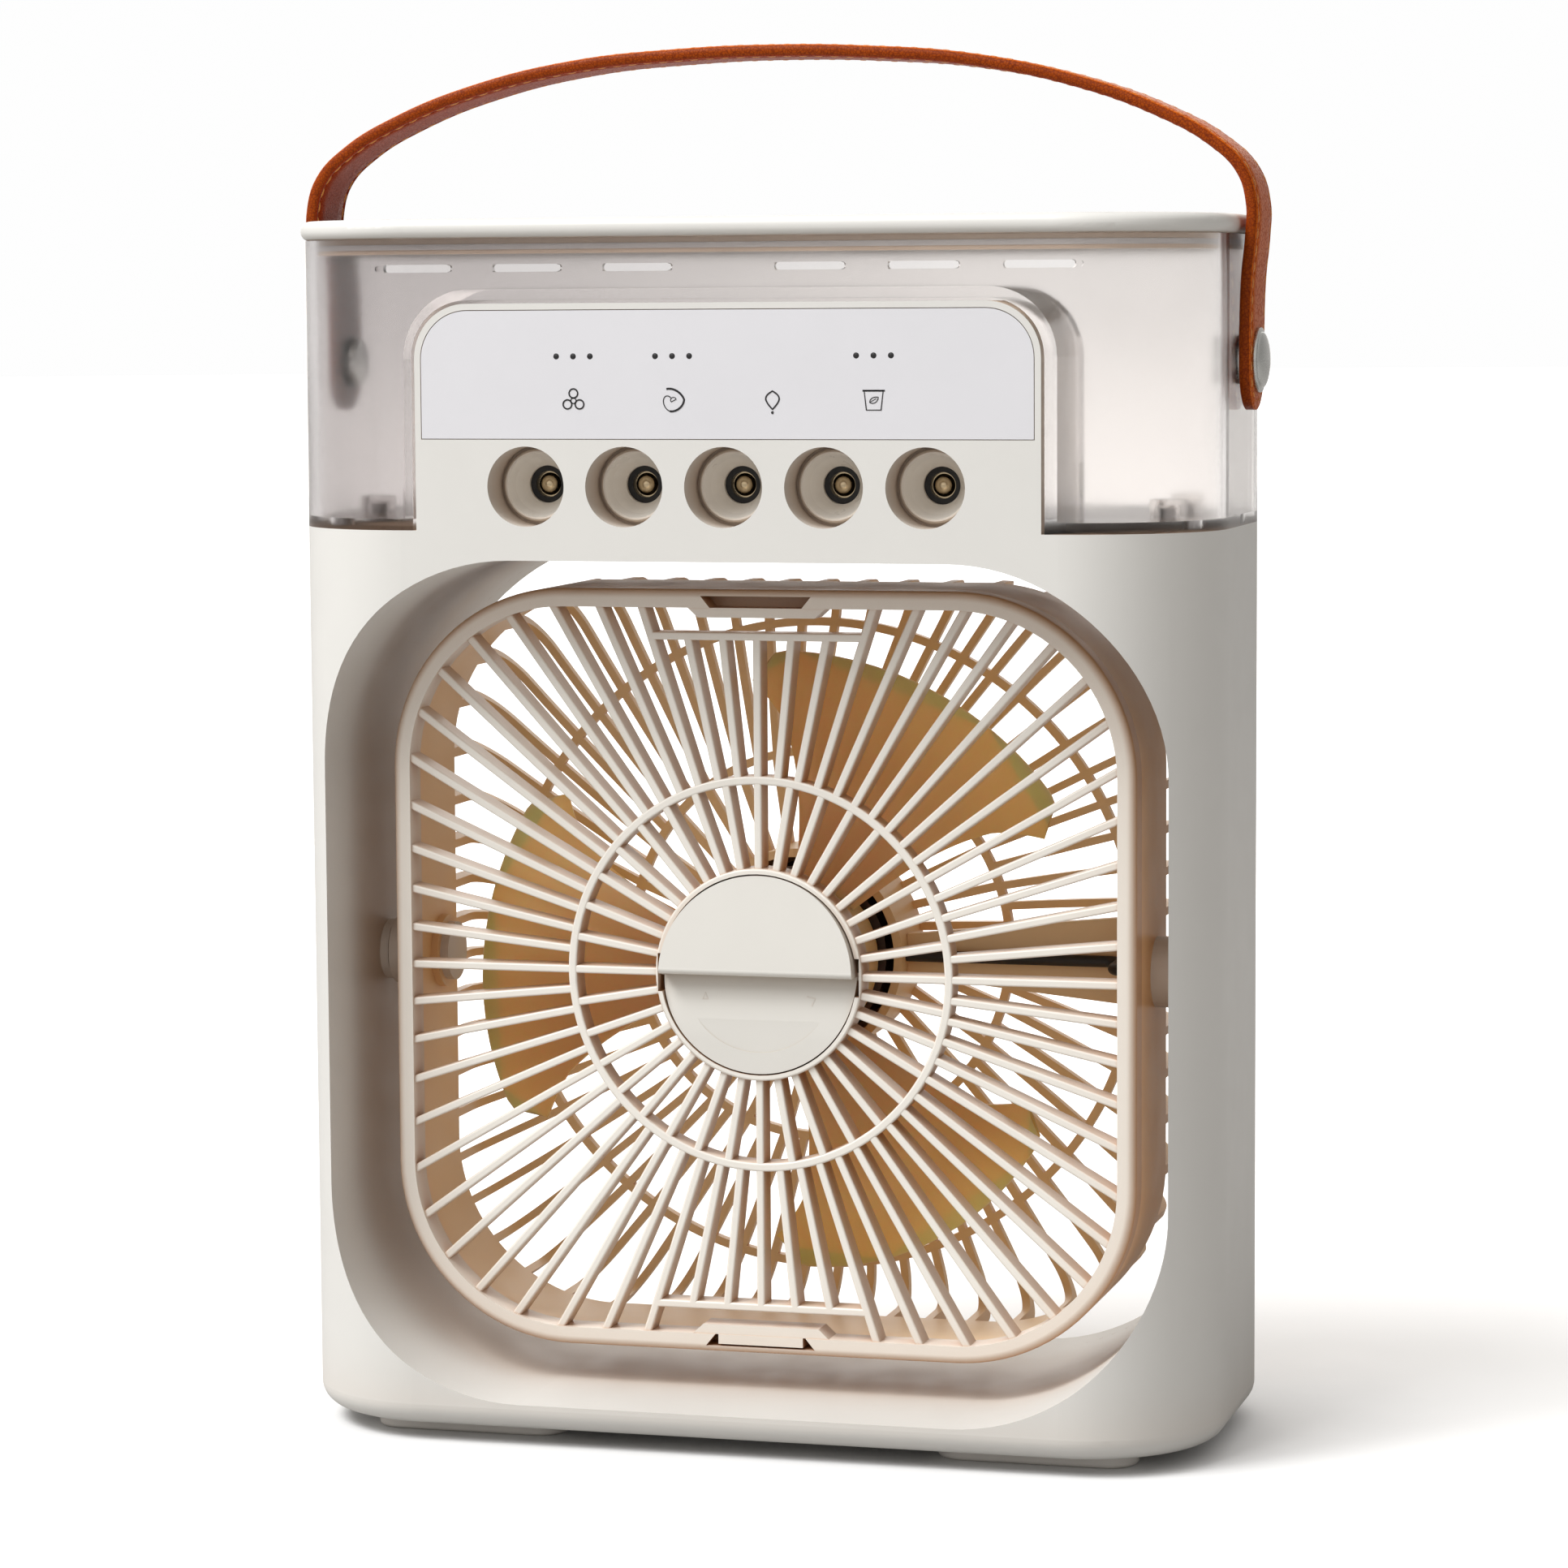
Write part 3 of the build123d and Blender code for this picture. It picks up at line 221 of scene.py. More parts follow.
def make_leather_effect():
    """Pebbled grain with paler rubbed tops, darker pores and slow changes of dye."""
    net, given, out = effect("leather grain", [
        ("Colour", "Color", (0.4, 0.1, 0.02, 1)), ("Dark Colour", "Color", (0.2, 0.04, 0.01, 1)),
        ("Pebble Scale", "Float", 900.0), ("Depth", "Float", 0.5)],
        [("Colour", "Color"), ("Roughness", "Float"), ("Normal", "Vector")])
    where = net.add("ShaderNodeTexCoord").outputs["Object"]
    bent = net.add("ShaderNodeTexNoise", {"Vector": where, "Scale": 350.0, "Detail": 2.0})
    moved = net.add("ShaderNodeMix", {0: 0.0015, 4: where, 5: bent.outputs["Color"]}, data_type="VECTOR")
    cells = net.add("ShaderNodeTexVoronoi", {"Vector": moved.outputs[1], "Scale": given["Pebble Scale"]},
                    feature="DISTANCE_TO_EDGE")
    pebble = net.spread(cells.outputs["Distance"], 0.0, 0.16)
    dye = net.spread(net.noise(where, 60.0, 4.0, 0.6), 0.3, 0.75)
    fine = net.noise(where, 4200.0, 2.0)
    rubbed = net.math("MULTIPLY", pebble, net.spread(dye, 0.0, 1.0, 0.6, 1.0))
    net.tree.links.new(net.blend(rubbed, given["Dark Colour"], given["Colour"]), out["Colour"])
    net.tree.links.new(net.spread(net.math("ADD", pebble, fine), 0.4, 1.5, 0.56, 0.36), out["Roughness"])
    height = net.math("ADD", pebble, net.math("MULTIPLY", fine, 0.35))
    bump = net.add("ShaderNodeBump", {"Strength": given["Depth"], "Distance": 0.00012, "Height": height})
    net.tree.links.new(bump.outputs[0], out["Normal"])
    return net.tree


def make_brushed_effect():
    """Hair lines in metal along one direction, with faint tarnish."""
    net, given, out = effect("brushed lines", [
        ("Colour", "Color", (0.6, 0.6, 0.6, 1)), ("Stretch", "Vector", (1.0, 1.0, 12.0)),
        ("Roughness", "Float", 0.3)],
        [("Colour", "Color"), ("Roughness", "Float"), ("Normal", "Vector")])
    where = net.add("ShaderNodeTexCoord").outputs["Object"]
    drawn = net.add("ShaderNodeVectorMath", {0: where, 1: given["Stretch"]}, operation="MULTIPLY")
    lines = net.noise(drawn.outputs[0], 900.0, 3.0, 0.6)
    stain = net.spread(net.noise(where, 260.0, 3.0), 0.35, 0.7, 0.0, 0.25)
    dull = net.blend(0.5, given["Colour"], (0.28, 0.24, 0.2, 1))
    net.tree.links.new(net.blend(stain, given["Colour"], dull), out["Colour"])
    uneven = net.spread(lines, 0.3, 0.7, -0.06, 0.08)
    net.tree.links.new(net.math("ADD", given["Roughness"], uneven), out["Roughness"])
    bump = net.add("ShaderNodeBump", {"Strength": 0.15, "Distance": 0.00004, "Height": lines})
    net.tree.links.new(bump.outputs[0], out["Normal"])
    return net.tree


MOULDED = make_moulded_effect()
LEATHER = make_leather_effect()
BRUSHED = make_brushed_effect()


# ---- Materials -------------------------------------------------------------
def rgb(red, green, blue):
    """A screen colour (0 to 255) as a linear one."""
    def line(v):
        v = v / 255
        return v / 12.92 if v <= 0.04045 else ((v + 0.055) / 1.055) ** 2.4
    return (line(red), line(green), line(blue), 1.0)


def principled(name, **shader):
    """A new material with plain values set on its Principled node; returns it, its net and the node."""
    material = bpy.data.materials.new(name)
    material.use_nodes = True
    surface = material.node_tree.nodes["Principled BSDF"]
    for key, value in shader.items():
        surface.inputs[key.replace("_", " ")].default_value = value
    return material, Net(material.node_tree), surface


def finish_with(name, group, values, **shader):
    """A Principled material whose colour, roughness and normal come from one effect."""
    material, net, surface = principled(name, **shader)
    made = net.add("ShaderNodeGroup")
    made.node_tree = group
    for key, value in values.items():
        made.inputs[key].default_value = value
    material.node_tree.links.new(made.outputs["Colour"], surface.inputs["Base Color"])
    material.node_tree.links.new(made.outputs["Roughness"], surface.inputs["Roughness"])
    material.node_tree.links.new(made.outputs["Normal"], surface.inputs["Normal"])
    return material


# The second colour is painted shade, mixed in where other parts are near; reach sets how near, share how strongly.
def moulded(name, colour, painted_shade, roughness=0.38, reach=0.02, share=0.6, grain=0.05, **shader):
    values = {"Colour": colour, "Painted Shade Colour": painted_shade, "Painted Shade Reach": reach, "Painted Shade Share": share,
              "Roughness": roughness, "Grain Depth": grain}
    return finish_with(name, MOULDED, values, **shader)


def clear_plastic(name, tint, roughness, left_shade_tint=None):
    """See-through plastic with a faint haze, and, if so asked, a painted shade that darkens its left end."""
    material, net, surface = principled(name, Base_Color=tint, Transmission_Weight=1.0, IOR=1.38)
    where = net.add("ShaderNodeTexCoord").outputs["Object"]
    haze = net.spread(net.noise(where, 35.0, 3.0), 0.3, 0.7, roughness * 0.8, roughness * 1.3)
    wave = net.noise(where, 60.0, 1.0)
    bump = net.add("ShaderNodeBump", {"Strength": 0.05, "Distance": 0.0004, "Height": wave})
    material.node_tree.links.new(haze, surface.inputs["Roughness"])
    material.node_tree.links.new(bump.outputs[0], surface.inputs["Normal"])
    passing = net.add("ShaderNodeBsdfTransparent", {"Color": tint})
    if left_shade_tint:
        # Painted shade: the tint darkens towards the left end.
        side = net.add("ShaderNodeSeparateXYZ", {0: where}).outputs["X"]
        along = net.spread(side, CAD_BOX[0].x * 0.9, CAD_BOX[1].x * 0.5)
        material.node_tree.links.new(net.blend(along, left_shade_tint, tint), surface.inputs["Base Color"])
    ray = net.add("ShaderNodeLightPath").outputs["Is Shadow Ray"]
    both = net.add("ShaderNodeMixShader", {0: ray, 1: surface.outputs[0], 2: passing.outputs[0]})
    output = material.node_tree.nodes["Material Output"]
    material.node_tree.links.new(both.outputs[0], output.inputs["Surface"])
    return material


def blade_plastic():
    """Amber blades whose golden colour also paints the warm light and shade inside the head; more golden towards
    their tips.
    """
    material = moulded("blade_plastic", rgb(196, 152, 92), rgb(190, 124, 40), 0.42, 0.02, 0.5,
                       Subsurface_Weight=0.5, Subsurface_Scale=0.004)
    net = Net(material.node_tree)
    where = net.add("ShaderNodeTexCoord").outputs["Object"]
    axis = joint_place("fan_spin")
    level = net.add("ShaderNodeVectorMath", {0: where, 1: axis}, operation="SUBTRACT")
    flat = net.add("ShaderNodeVectorMath", {0: level.outputs[0], 1: (1, 0, 1)}, operation="MULTIPLY")
    reach = net.add("ShaderNodeVectorMath", {0: flat.outputs[0]}, operation="LENGTH").outputs["Value"]
    out = net.spread(reach, 0.018, 0.06)
    # Golden from hub to tip; the gold stands partly for the warm light inside the head.
    colour = net.blend(out, rgb(238, 204, 152), rgb(252, 214, 130))
    group = next(n for n in material.node_tree.nodes if n.type == "GROUP")
    material.node_tree.links.new(colour, group.inputs["Colour"])
    return material


def rubber(name, colour, roughness=0.65):
    # Its painted shade colour is its own colour at 70 percent.
    return moulded(name, colour, tuple(0.7 * c for c in colour[:3]) + (1,), roughness, 0.01, 0.4, 0.3)


def brushed(name, colour, roughness, stretch=(1, 1, 12)):
    return finish_with(name, BRUSHED, {"Colour": colour, "Roughness": roughness, "Stretch": stretch},
                       Metallic=1.0)


def leather(name, colour, dark, depth=0.5, scale=900.0):
    values = {"Colour": colour, "Dark Colour": dark, "Depth": depth, "Pebble Scale": scale}
    return finish_with(name, LEATHER, values, Specular_IOR_Level=0.1)


# The second colour of each moulded finish is its painted shade for hollows, corners and gaps.
BODY = moulded("body_plastic", rgb(211, 210, 206), rgb(176, 132, 80), 0.4, 0.02, 0.55)
GRILLE = moulded("grille_plastic", rgb(228, 224, 216), rgb(178, 118, 50), 0.34, 0.026, 0.95)
KNOB = moulded("knob_plastic", rgb(213, 211, 205), rgb(160, 126, 84), 0.36, 0.01, 0.6)
# The duct's golden base colour paints the warm shade that its ivory plastic takes inside the head.
DUCT = moulded("duct_plastic", rgb(242, 212, 166), rgb(206, 136, 62), 0.4, 0.014, 0.85)
NOZZLE = moulded("nozzle_plastic", rgb(244, 240, 232), rgb(190, 160, 124), 0.3, 0.004, 0.6)
SHEET = moulded("touch_sheet_gloss", rgb(212, 212, 216), rgb(190, 188, 190), 0.2, 0.004, 0.3, 0.02,
                Coat_Weight=0.4, Coat_Roughness=0.08)
# The tank's second tint is the painted shade of its left end.
TANK = clear_plastic("tank_shaded_left", rgb(238, 235, 233), 0.13, rgb(212, 208, 207))
LIGHT = clear_plastic("light_clear", rgb(248, 248, 248), 0.2)
BLADE = blade_plastic()
FOOT = rubber("foot_soft", rgb(226, 222, 216))
SEAL = rubber("seal_silicone", rgb(196, 192, 190))
# Black seals in front of the mist discs; their black also paints the dark shade of the nozzle bores.
BLACK = rubber("seal_black", rgb(14, 13, 13), 0.5)
LEAD = rubber("lead_jacket", rgb(30, 28, 27), 0.5)
LED = moulded("led_lens", rgb(240, 240, 228), rgb(220, 215, 190), 0.25)
BOARD = moulded("board_lacquer", rgb(28, 92, 58), rgb(12, 50, 30), 0.35, 0.004, 0.5, 0.3)
WICK = moulded("wick_cotton", rgb(240, 238, 230), rgb(200, 190, 170), 0.9, 0.004, 0.5, 0.8)
STEEL = brushed("screw_plating", rgb(178, 178, 180), 0.32)
SHAFT = brushed("shaft_ground", rgb(186, 186, 188), 0.2, (14, 1, 14))
CAN = brushed("motor_can", rgb(112, 104, 98), 0.38, (1, 10, 1))
DISC = brushed("disc_polish", rgb(205, 186, 152), 0.16, (3, 1, 3))
PAD = brushed("pad_plating", rgb(205, 180, 120), 0.3)
RIVET = brushed("rivet_nickel", rgb(196, 198, 196), 0.24, (2, 6, 2))
INK = moulded("print_ink", rgb(22, 21, 24), rgb(10, 10, 12), 0.45, 0.002, 0.3)
MARK = moulded("moulded_mark", rgb(206, 200, 192), rgb(180, 170, 158), 0.4, 0.002, 0.5)
HIDE = leather("strap_grain", rgb(198, 96, 8), rgb(160, 66, 1))
HIDE_BACK = leather("strap_back", rgb(156, 56, 2), rgb(116, 34, 1), 0.3, 1600.0)
HIDE_EDGE = leather("strap_edge", rgb(150, 64, 6), rgb(104, 34, 2), 0.2, 1800.0)
THREAD = leather("strap_thread", rgb(226, 158, 84), rgb(186, 112, 48), 0.4, 3000.0)

FINISHES = {
    "body_white": BODY, "nozzle_white": NOZZLE, "grille_ivory": GRILLE, "duct_ivory": DUCT,
    "blade_amber": BLADE, "tank_clear": TANK, "light_clear": LIGHT, "touch_sheet": SHEET,
    "foot_rubber": FOOT, "seal_rubber": SEAL, "seal_black": BLACK, "strap_leather": HIDE,
    "rivet_metal": RIVET, "screw_steel": STEEL, "shaft_steel": SHAFT, "motor_metal": CAN,
    "disc_metal": DISC, "board_green": BOARD, "socket_metal": STEEL, "pad_metal": PAD,
    "led_white": LED, "wick_cotton": WICK, "lead_black": LEAD,
}


def dress_nodes():
    """Every moulded, turned or cut part takes the finish of its material slot."""
    for part in frame["record"]["subparts"]:
        mesh = NODES[part["node"]].data
        mesh.materials.clear()
        mesh.materials.append(FINISHES[part["material_slot"]])
    NODES["centre_knob"].data.materials[0] = KNOB


# ---- Strap -----------------------------------------------------------------
STRAP_THICK = 2.3 * MM
STRAP_STATION = 1.2 * MM
STRAP_RISE = [(89.15, 197.0), (89.15, 206.0), (89.5, 216.0), (90.2, 223.0), (90.3, 229.0), (88.4, 235.0),
              (83.0, 240.3), (73.5, 245.6), (58.0, 251.3), (38.0, 255.6)]
SEAM_IN = 1.55 * MM              # from the strap's edge to its seam
STITCH_PITCH = 3.0 * MM
STITCH_LONG = 2.2 * MM
STITCH_R = 0.34 * MM


def strap_half_line():
    """Middle line of the strap from its low end to the crown, as distance from the middle and height."""
    low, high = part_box("handle_strap")
    crown = high.z - STRAP_THICK / 2
    side = [(STRAP_RISE[0][0] * MM, low.z)] + [(x * MM, z * MM) for x, z in STRAP_RISE]
    return side + [(18.0 * MM, crown - 0.5 * MM), (0.0, crown)]


class StrapLine:
    """The strap's middle line, measured along its length."""

    def __init__(self):
        half = strap_half_line()
        points = [Vector((-x, 0, z)) for x, z in half] + [Vector((x, 0, z)) for x, z in reversed(half[:-1])]
        curve = bpy.data.curves.new("strap_line", "CURVE")
        curve.dimensions = "3D"
        curve.resolution_u = 24
        spline = curve.splines.new("BEZIER")
        spline.bezier_points.add(len(points) - 1)
        for knot, point in zip(spline.bezier_points, points):
            knot.co = point
            knot.handle_left_type = knot.handle_right_type = "AUTO"
        holder = bpy.data.objects.new("strap_line", curve)
        drawn = bpy.data.meshes.new_from_object(holder)
        self.points = [v.co.copy() for v in drawn.vertices]
        bpy.data.objects.remove(holder)
        self.marks = [0.0]
        for a, b in zip(self.points, self.points[1:]):
            self.marks.append(self.marks[-1] + (b - a).length)
        self.length = self.marks[-1]

    def at(self, s):
        """Place, direction and outward normal at a distance from the left end."""
        s = min(max(s, 0.0), self.length)
        i = next((k for k in range(1, len(self.marks)) if self.marks[k] >= s), len(self.marks) - 1)
        share = (s - self.marks[i - 1]) / max(self.marks[i] - self.marks[i - 1], 1e-9)
        place = self.points[i - 1].lerp(self.points[i], share)
        before = self.points[max(i - 2, 0)]
        after = self.points[min(i + 1, len(self.points) - 1)]
        along = (after - before).normalized()
        return place, along, Vector((-along.z, 0, along.x))

    def lay(self, s, across, out):
        """Point on the band: along it, across it (front to back) and out from its middle."""
        place, _, normal = self.at(s)
        return place + Vector((0, across, 0)) + normal * out


STRAP_SIDE = [(0.0, 1.15), (3.2, 1.15), (5.9, 1.14), (6.15, 0.9), (6.75, 0.9), (7.0, 1.12), (7.35, 1.08),
              (7.75, 0.86), (7.97, 0.45), (8.0, 0.0)]


def strap_section():
    """Closed section of the band in millimetres: crowned faces, seam grooves and round edges."""
    right = STRAP_SIDE + [(u, -v) for u, v in reversed(STRAP_SIDE[:-1])]
    return right + [(-u, v) for u, v in reversed(right[1:-1])]


def strap_width_at(s, length, half):
    end = min(s, length - s)
    return half if end >= half else math.sqrt(max(half ** 2 - (half - end) ** 2, (0.4 * MM) ** 2))


def build_strap(line):
    low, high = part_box("handle_strap")
    half = (high.y - low.y) / 2
    section = strap_section()
    tips = [half * (1 - math.cos(math.radians(a))) for a in range(3, 90, 6)]
    count = int((line.length - 2 * half) / STRAP_STATION)
    body = [half + (line.length - 2 * half) * i / count for i in range(count + 1)]
    stations = tips + body + [line.length - s for s in reversed(tips)]
    bm = bmesh.new()
    rings = []
    for s in stations:
        share = strap_width_at(s, line.length, half) / half
        rings.append([line.lay(s, u * MM * share, v * MM * (0.75 + 0.25 * share)) for u, v in section])
    rows = skin(bm, rings)
    faces_round = len(section)
    side = len(STRAP_SIDE) - 1
    for row in rows:
        for i, face in enumerate(row):
            mid = section[i][1] + section[(i + 1) % faces_round][1]
            wide = abs(section[i][0] + section[(i + 1) % faces_round][0]) / 2
            face.material_index = 2 if wide > STRAP_SIDE[side - 2][0] else (0 if mid > 0 else 1)
    band = piece("strap_band", mesh_of(bm, "strap_band", 60), "handle", "strap_leather",
                 HIDE, HIDE_BACK, HIDE_EDGE)
    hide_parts("handle_strap")
    return half


def seam_route(line, half):
    """The seam as (along, across) points: up one side, round the far tab, back and round again."""
    inner = half - SEAM_IN
    turn = [math.radians(a) for a in range(0, 91, 6)]
    tab = [(half - inner * math.cos(a), inner * math.sin(a)) for a in turn]
    straight = [(half + (line.length - 2 * half) * i / 200, inner) for i in range(1, 200)]
    far = [(line.length - s, w) for s, w in reversed(tab)]
    one = tab + straight + far
    return one + [(s, -w) for s, w in reversed(one)]


def build_stitches(line, half):
    route = seam_route(line, half)
    marks = [0.0]
    for (s0, w0), (s1, w1) in zip(route, route[1:]):
        marks.append(marks[-1] + math.hypot(s1 - s0, w1 - w0))
    total = marks[-1]

    def at(distance):
        i = next((k for k in range(1, len(marks)) if marks[k] >= distance), len(marks) - 1)
        share = (distance - marks[i - 1]) / max(marks[i] - marks[i - 1], 1e-9)
        (s0, w0), (s1, w1) = route[i - 1], route[i]
        return s0 + (s1 - s0) * share, w0 + (w1 - w0) * share

    bm = bmesh.new()
    count = int(total / STITCH_PITCH)
    fat = [(0.0, 0.3), (0.12, 0.8), (0.3, 1.0), (0.5, 1.0), (0.7, 1.0), (0.88, 0.8), (1.0, 0.3)]
    for k in range(count):
        start = total * k / count
        for face_side in (1, -1):
            rings = []
            for share, size in fat:
                s, w = at(start + STITCH_LONG * share)
                _, along, normal = line.at(s)
                out = face_side * (STRAP_THICK / 2 - 0.3 * MM + 0.1 * MM * math.sin(math.pi * share))
                middle_point = line.lay(s, w, out)
                across = Vector((0, 1, 0))
                r = STITCH_R * size
                rings.append([middle_point + across * (r * math.cos(a)) + normal * (r * 0.8 * math.sin(a))
                              for a in (2 * math.pi * j / 8 for j in range(8))])
            skin(bm, rings)
    piece("strap_stitches", mesh_of(bm, "strap_stitches", 80), "handle", "strap_leather", THREAD)


def build_rivet(side):
    """Domed rivet with a rolled rim, its shank and the flat foot inside the tank."""
    name = "rivet_left" if side < 0 else "rivet_right"
    low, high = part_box(name)
    outer, inner = (high.x, low.x) if side > 0 else (-low.x, -high.x)
    tall = outer - inner
    radius = (high.z - low.z) / 2
    seat = radius * 0.985
    base = tall - 2.3 * MM
    profile = [(0, 0), (4.3 * MM, 0), (4.5 * MM, 0.2 * MM), (4.5 * MM, 1.2 * MM), (4.2 * MM, 1.5 * MM),
               (2.0 * MM, 1.5 * MM), (2.0 * MM, base), (seat - 0.5 * MM, base), (seat, base + 0.12 * MM),
               (radius, base + 0.45 * MM), (seat, base + 0.8 * MM), (seat - 0.45 * MM, base + 0.95 * MM),
               (seat - 0.75 * MM, base + 0.9 * MM)]
    dome = tall - base - 0.95 * MM
    for i in range(1, 9):
        share = math.pi / 2 * i / 8
        profile.append(((seat - 0.75 * MM) * math.cos(share), base + 0.9 * MM + dome * math.sin(share)))
    bm = bmesh.new()
    centre = Vector((side * inner, 0, (low.z + high.z) / 2))
    lathe(bm, profile, centre, (side, 0, 0))
    made = piece(name + "_turned", mesh_of(bm, name, 50), "housing", "rivet_metal", RIVET)
    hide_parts(name)


# ---- Impeller --------------------------------------------------------------
BLADE_COUNT = 3
FIRST_BLADE = math.radians(-60)
HUB_R = 16.5 * MM
BLADE_THICK = 1.5 * MM
BLADE_PITCH = math.radians(17)


def blade_edges(share):
    """Angles of the leading and trailing edge at a share of the way from hub to tip."""
    lead = math.radians(-22 - 12 * share + 3.5 * math.sin(math.pi * share))
    trail = math.radians(20 + 14 * share - 2.5 * math.sin(math.pi * share))
    return lead, trail


def blade_surface(share, across, tip):
    """Middle surface of a blade in its own frame: x out, y back, z round."""
    inner = HUB_R - 1.0 * MM
    lead, trail = blade_edges(share)
    corner = 0.5 + 0.5 * math.cos(math.pi * min(1.0, (1 - abs(2 * across - 1)) * 6))
    radius = inner + (tip - inner) * share
    radius -= 5.5 * MM * corner * max(0.0, share - 0.7) / 0.3
    angle = lead + (trail - lead) * across
    x = radius * math.cos(angle)
    z = radius * math.sin(angle)
    camber = 1.6 * MM * math.sin(math.pi * across) * (0.4 + 0.6 * share)
    y = -z * math.tan(BLADE_PITCH) * (1.0 - 0.18 * share) - camber * 0.6
    return Vector((x, y, z))


def blade_normal(share, across, tip):
    step = 0.004
    outward = (blade_surface(min(share + step, 1), across, tip)
               - blade_surface(max(share - step, 0), across, tip))
    sideways = (blade_surface(share, min(across + step, 1), tip)
                - blade_surface(share, max(across - step, 0), tip))
    return outward.cross(sideways).normalized()


def build_impeller():
    low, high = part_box("impeller")
    centre = Vector((0, 0, joint_place("fan_spin").z))
    tip = high.z - centre.z - 0.2 * MM
    along, over = 26, 30
    bm = bmesh.new()
    for k in range(BLADE_COUNT):
        turn = Matrix.Rotation(FIRST_BLADE + 2 * math.pi * k / BLADE_COUNT, 3, "Y")
        rings = []
        for i in range(along + 1):
            share = i / along
            front, back = [], []
            for j in range(over + 1):
                across = j / over
                p = blade_surface(share, across, tip)
                normal = blade_normal(share, across, tip)
                rim = min(1.0, min(across, 1 - across) * over / 2.0 + 0.25, (1 - share) * along / 2.0 + 0.25)
                half = BLADE_THICK / 2 * math.sqrt(rim)
                front.append(centre + turn @ (p + normal * half))
                back.append(centre + turn @ (p - normal * half))
            rings.append(front + list(reversed(back)))
        skin(bm, rings)
    lathe_hub(bm, centre)
    made = piece("impeller_moulded", mesh_of(bm, "impeller_moulded", 50), "fan", "blade_amber", BLADE)
    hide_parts("impeller")


def lathe_hub(bm, centre):
    """Open-backed hub with a rounded nose and an inner sleeve for the shaft."""
    nose, rear = -8.0 * MM, 7.5 * MM
    wall = 1.8 * MM
    profile = [(1.6 * MM, nose), (HUB_R - 2.5 * MM, nose)]
    for i in range(1, 7):
        a = math.pi / 2 * i / 6
        profile.append((HUB_R - 2.5 * MM + 2.5 * MM * math.sin(a), nose + 2.5 * MM * (1 - math.cos(a))))
    profile += [(HUB_R, rear - 0.3 * MM), (HUB_R - 0.3 * MM, rear), (HUB_R - wall, rear),
                (HUB_R - wall, nose + wall), (4.0 * MM, nose + wall), (4.0 * MM, 6.0 * MM),
                (1.6 * MM, 6.0 * MM)]
    steps = 72
    rings = []
    for radius, y in profile:
        rings.append([centre + Vector((radius * math.cos(a), y, radius * math.sin(a)))
                      for a in (2 * math.pi * i / steps for i in range(steps))])
    skin_closed(bm, rings)


# ---- Printed and moulded marks ----------------------------------------------
PRINT_THICK = 0.06 * MM
DOT_STEP = 3.2 * MM
DOTTED_ICONS = (0, 1, 3)         # the icons that have a row of three dots over them


def stroke(bm, points, y_at, width, closed=False):
    """A printed line in the front plane: a thin raised ribbon through (x, z) points."""
    count = len(points)
    rings = []
    for i, (x, z) in enumerate(points):
        before = points[(i - 1) % count] if closed or i > 0 else points[i]
        after = points[(i + 1) % count] if closed or i < count - 1 else points[i]
        run = Vector((after[0] - before[0], after[1] - before[1]))
        run = run.normalized() if run.length > 1e-9 else Vector((1, 0))
        nx, nz = -run.y * width / 2, run.x * width / 2
        y = y_at(x, z)
        rings.append([Vector((x + nx, y + PRINT_THICK, z + nz)), Vector((x + nx, y - PRINT_THICK, z + nz)),
                      Vector((x - nx, y - PRINT_THICK, z - nz)), Vector((x - nx, y + PRINT_THICK, z - nz))])
    if closed:
        skin_closed(bm, rings)
    else:
        skin(bm, rings)


def loop(x, z, rx, rz, steps=40, start=0.0, sweep=360.0):
    turn = [math.radians(start + sweep * i / steps) for i in range(steps if sweep == 360 else steps + 1)]
    return [(x + rx * math.cos(a), z + rz * math.sin(a)) for a in turn]


def bezier(a, b, c, d, steps=10):
    """Points of a cubic curve, without its last."""
    out = []
    for i in range(steps):
        t = i / steps
        w = ((1 - t) ** 3, 3 * t * (1 - t) ** 2, 3 * t * t * (1 - t), t ** 3)
        out.append(tuple(sum(k * p[n] for k, p in zip(w, (a, b, c, d))) for n in (0, 1)))
    return out


def curve_through(knots):
    """Cubic pieces end to end: each takes four points and shares its ends with its neighbours."""
    out = []
    for i in range(0, len(knots) - 1, 3):
        out += bezier(*knots[i:i + 4])
    return out


def fan_icon():
    """Three round blades about a small hub."""
    lines = [(loop(0, 0, 0.5, 0.5, 20), 0.2)]
    for angle in (90, 210, 330):
        a = math.radians(angle)
        lines.append((loop(1.32 * math.cos(a), 1.32 * math.sin(a), 0.82, 0.82, 28), 0.27))
    return lines


def mist_icon():
    """A leaning drop with a heavier right side and a puff at its left."""
    right = curve_through([(-1.1, 2.1), (0.2, 2.4), (1.7, 1.5), (2.2, 0.2),
                           (2.1, -1.2), (0.6, -2.1), (-0.5, -1.9)])
    left = curve_through([(-0.5, -1.9), (-1.5, -1.5), (-1.9, -0.3), (-1.6, 0.4),
                          (-1.3, 1.1), (-0.6, 0.9), (-0.3, 0.5)])
    return [(right + [(-0.5, -1.9)], 0.36), (left + [(-0.3, 0.5)], 0.17),
            (loop(0.2, 0.1, 0.55, 0.5, 20, 20, 200), 0.14)]


def light_icon():
    """A pointed lamp with a dot under it."""
    glass = curve_through([(0, 1.7), (0.7, 1.3), (1.3, 0.9), (1.25, 0.2), (1.0, -0.6), (0.4, -1.1), (0, -1.6),
                           (-0.4, -1.1), (-1.0, -0.6), (-1.25, 0.2), (-1.3, 0.9), (-0.7, 1.3), (0, 1.7)])
    return [(glass, 0.27), (loop(0, -2.15, 0.14, 0.14, 12), 0.26)]


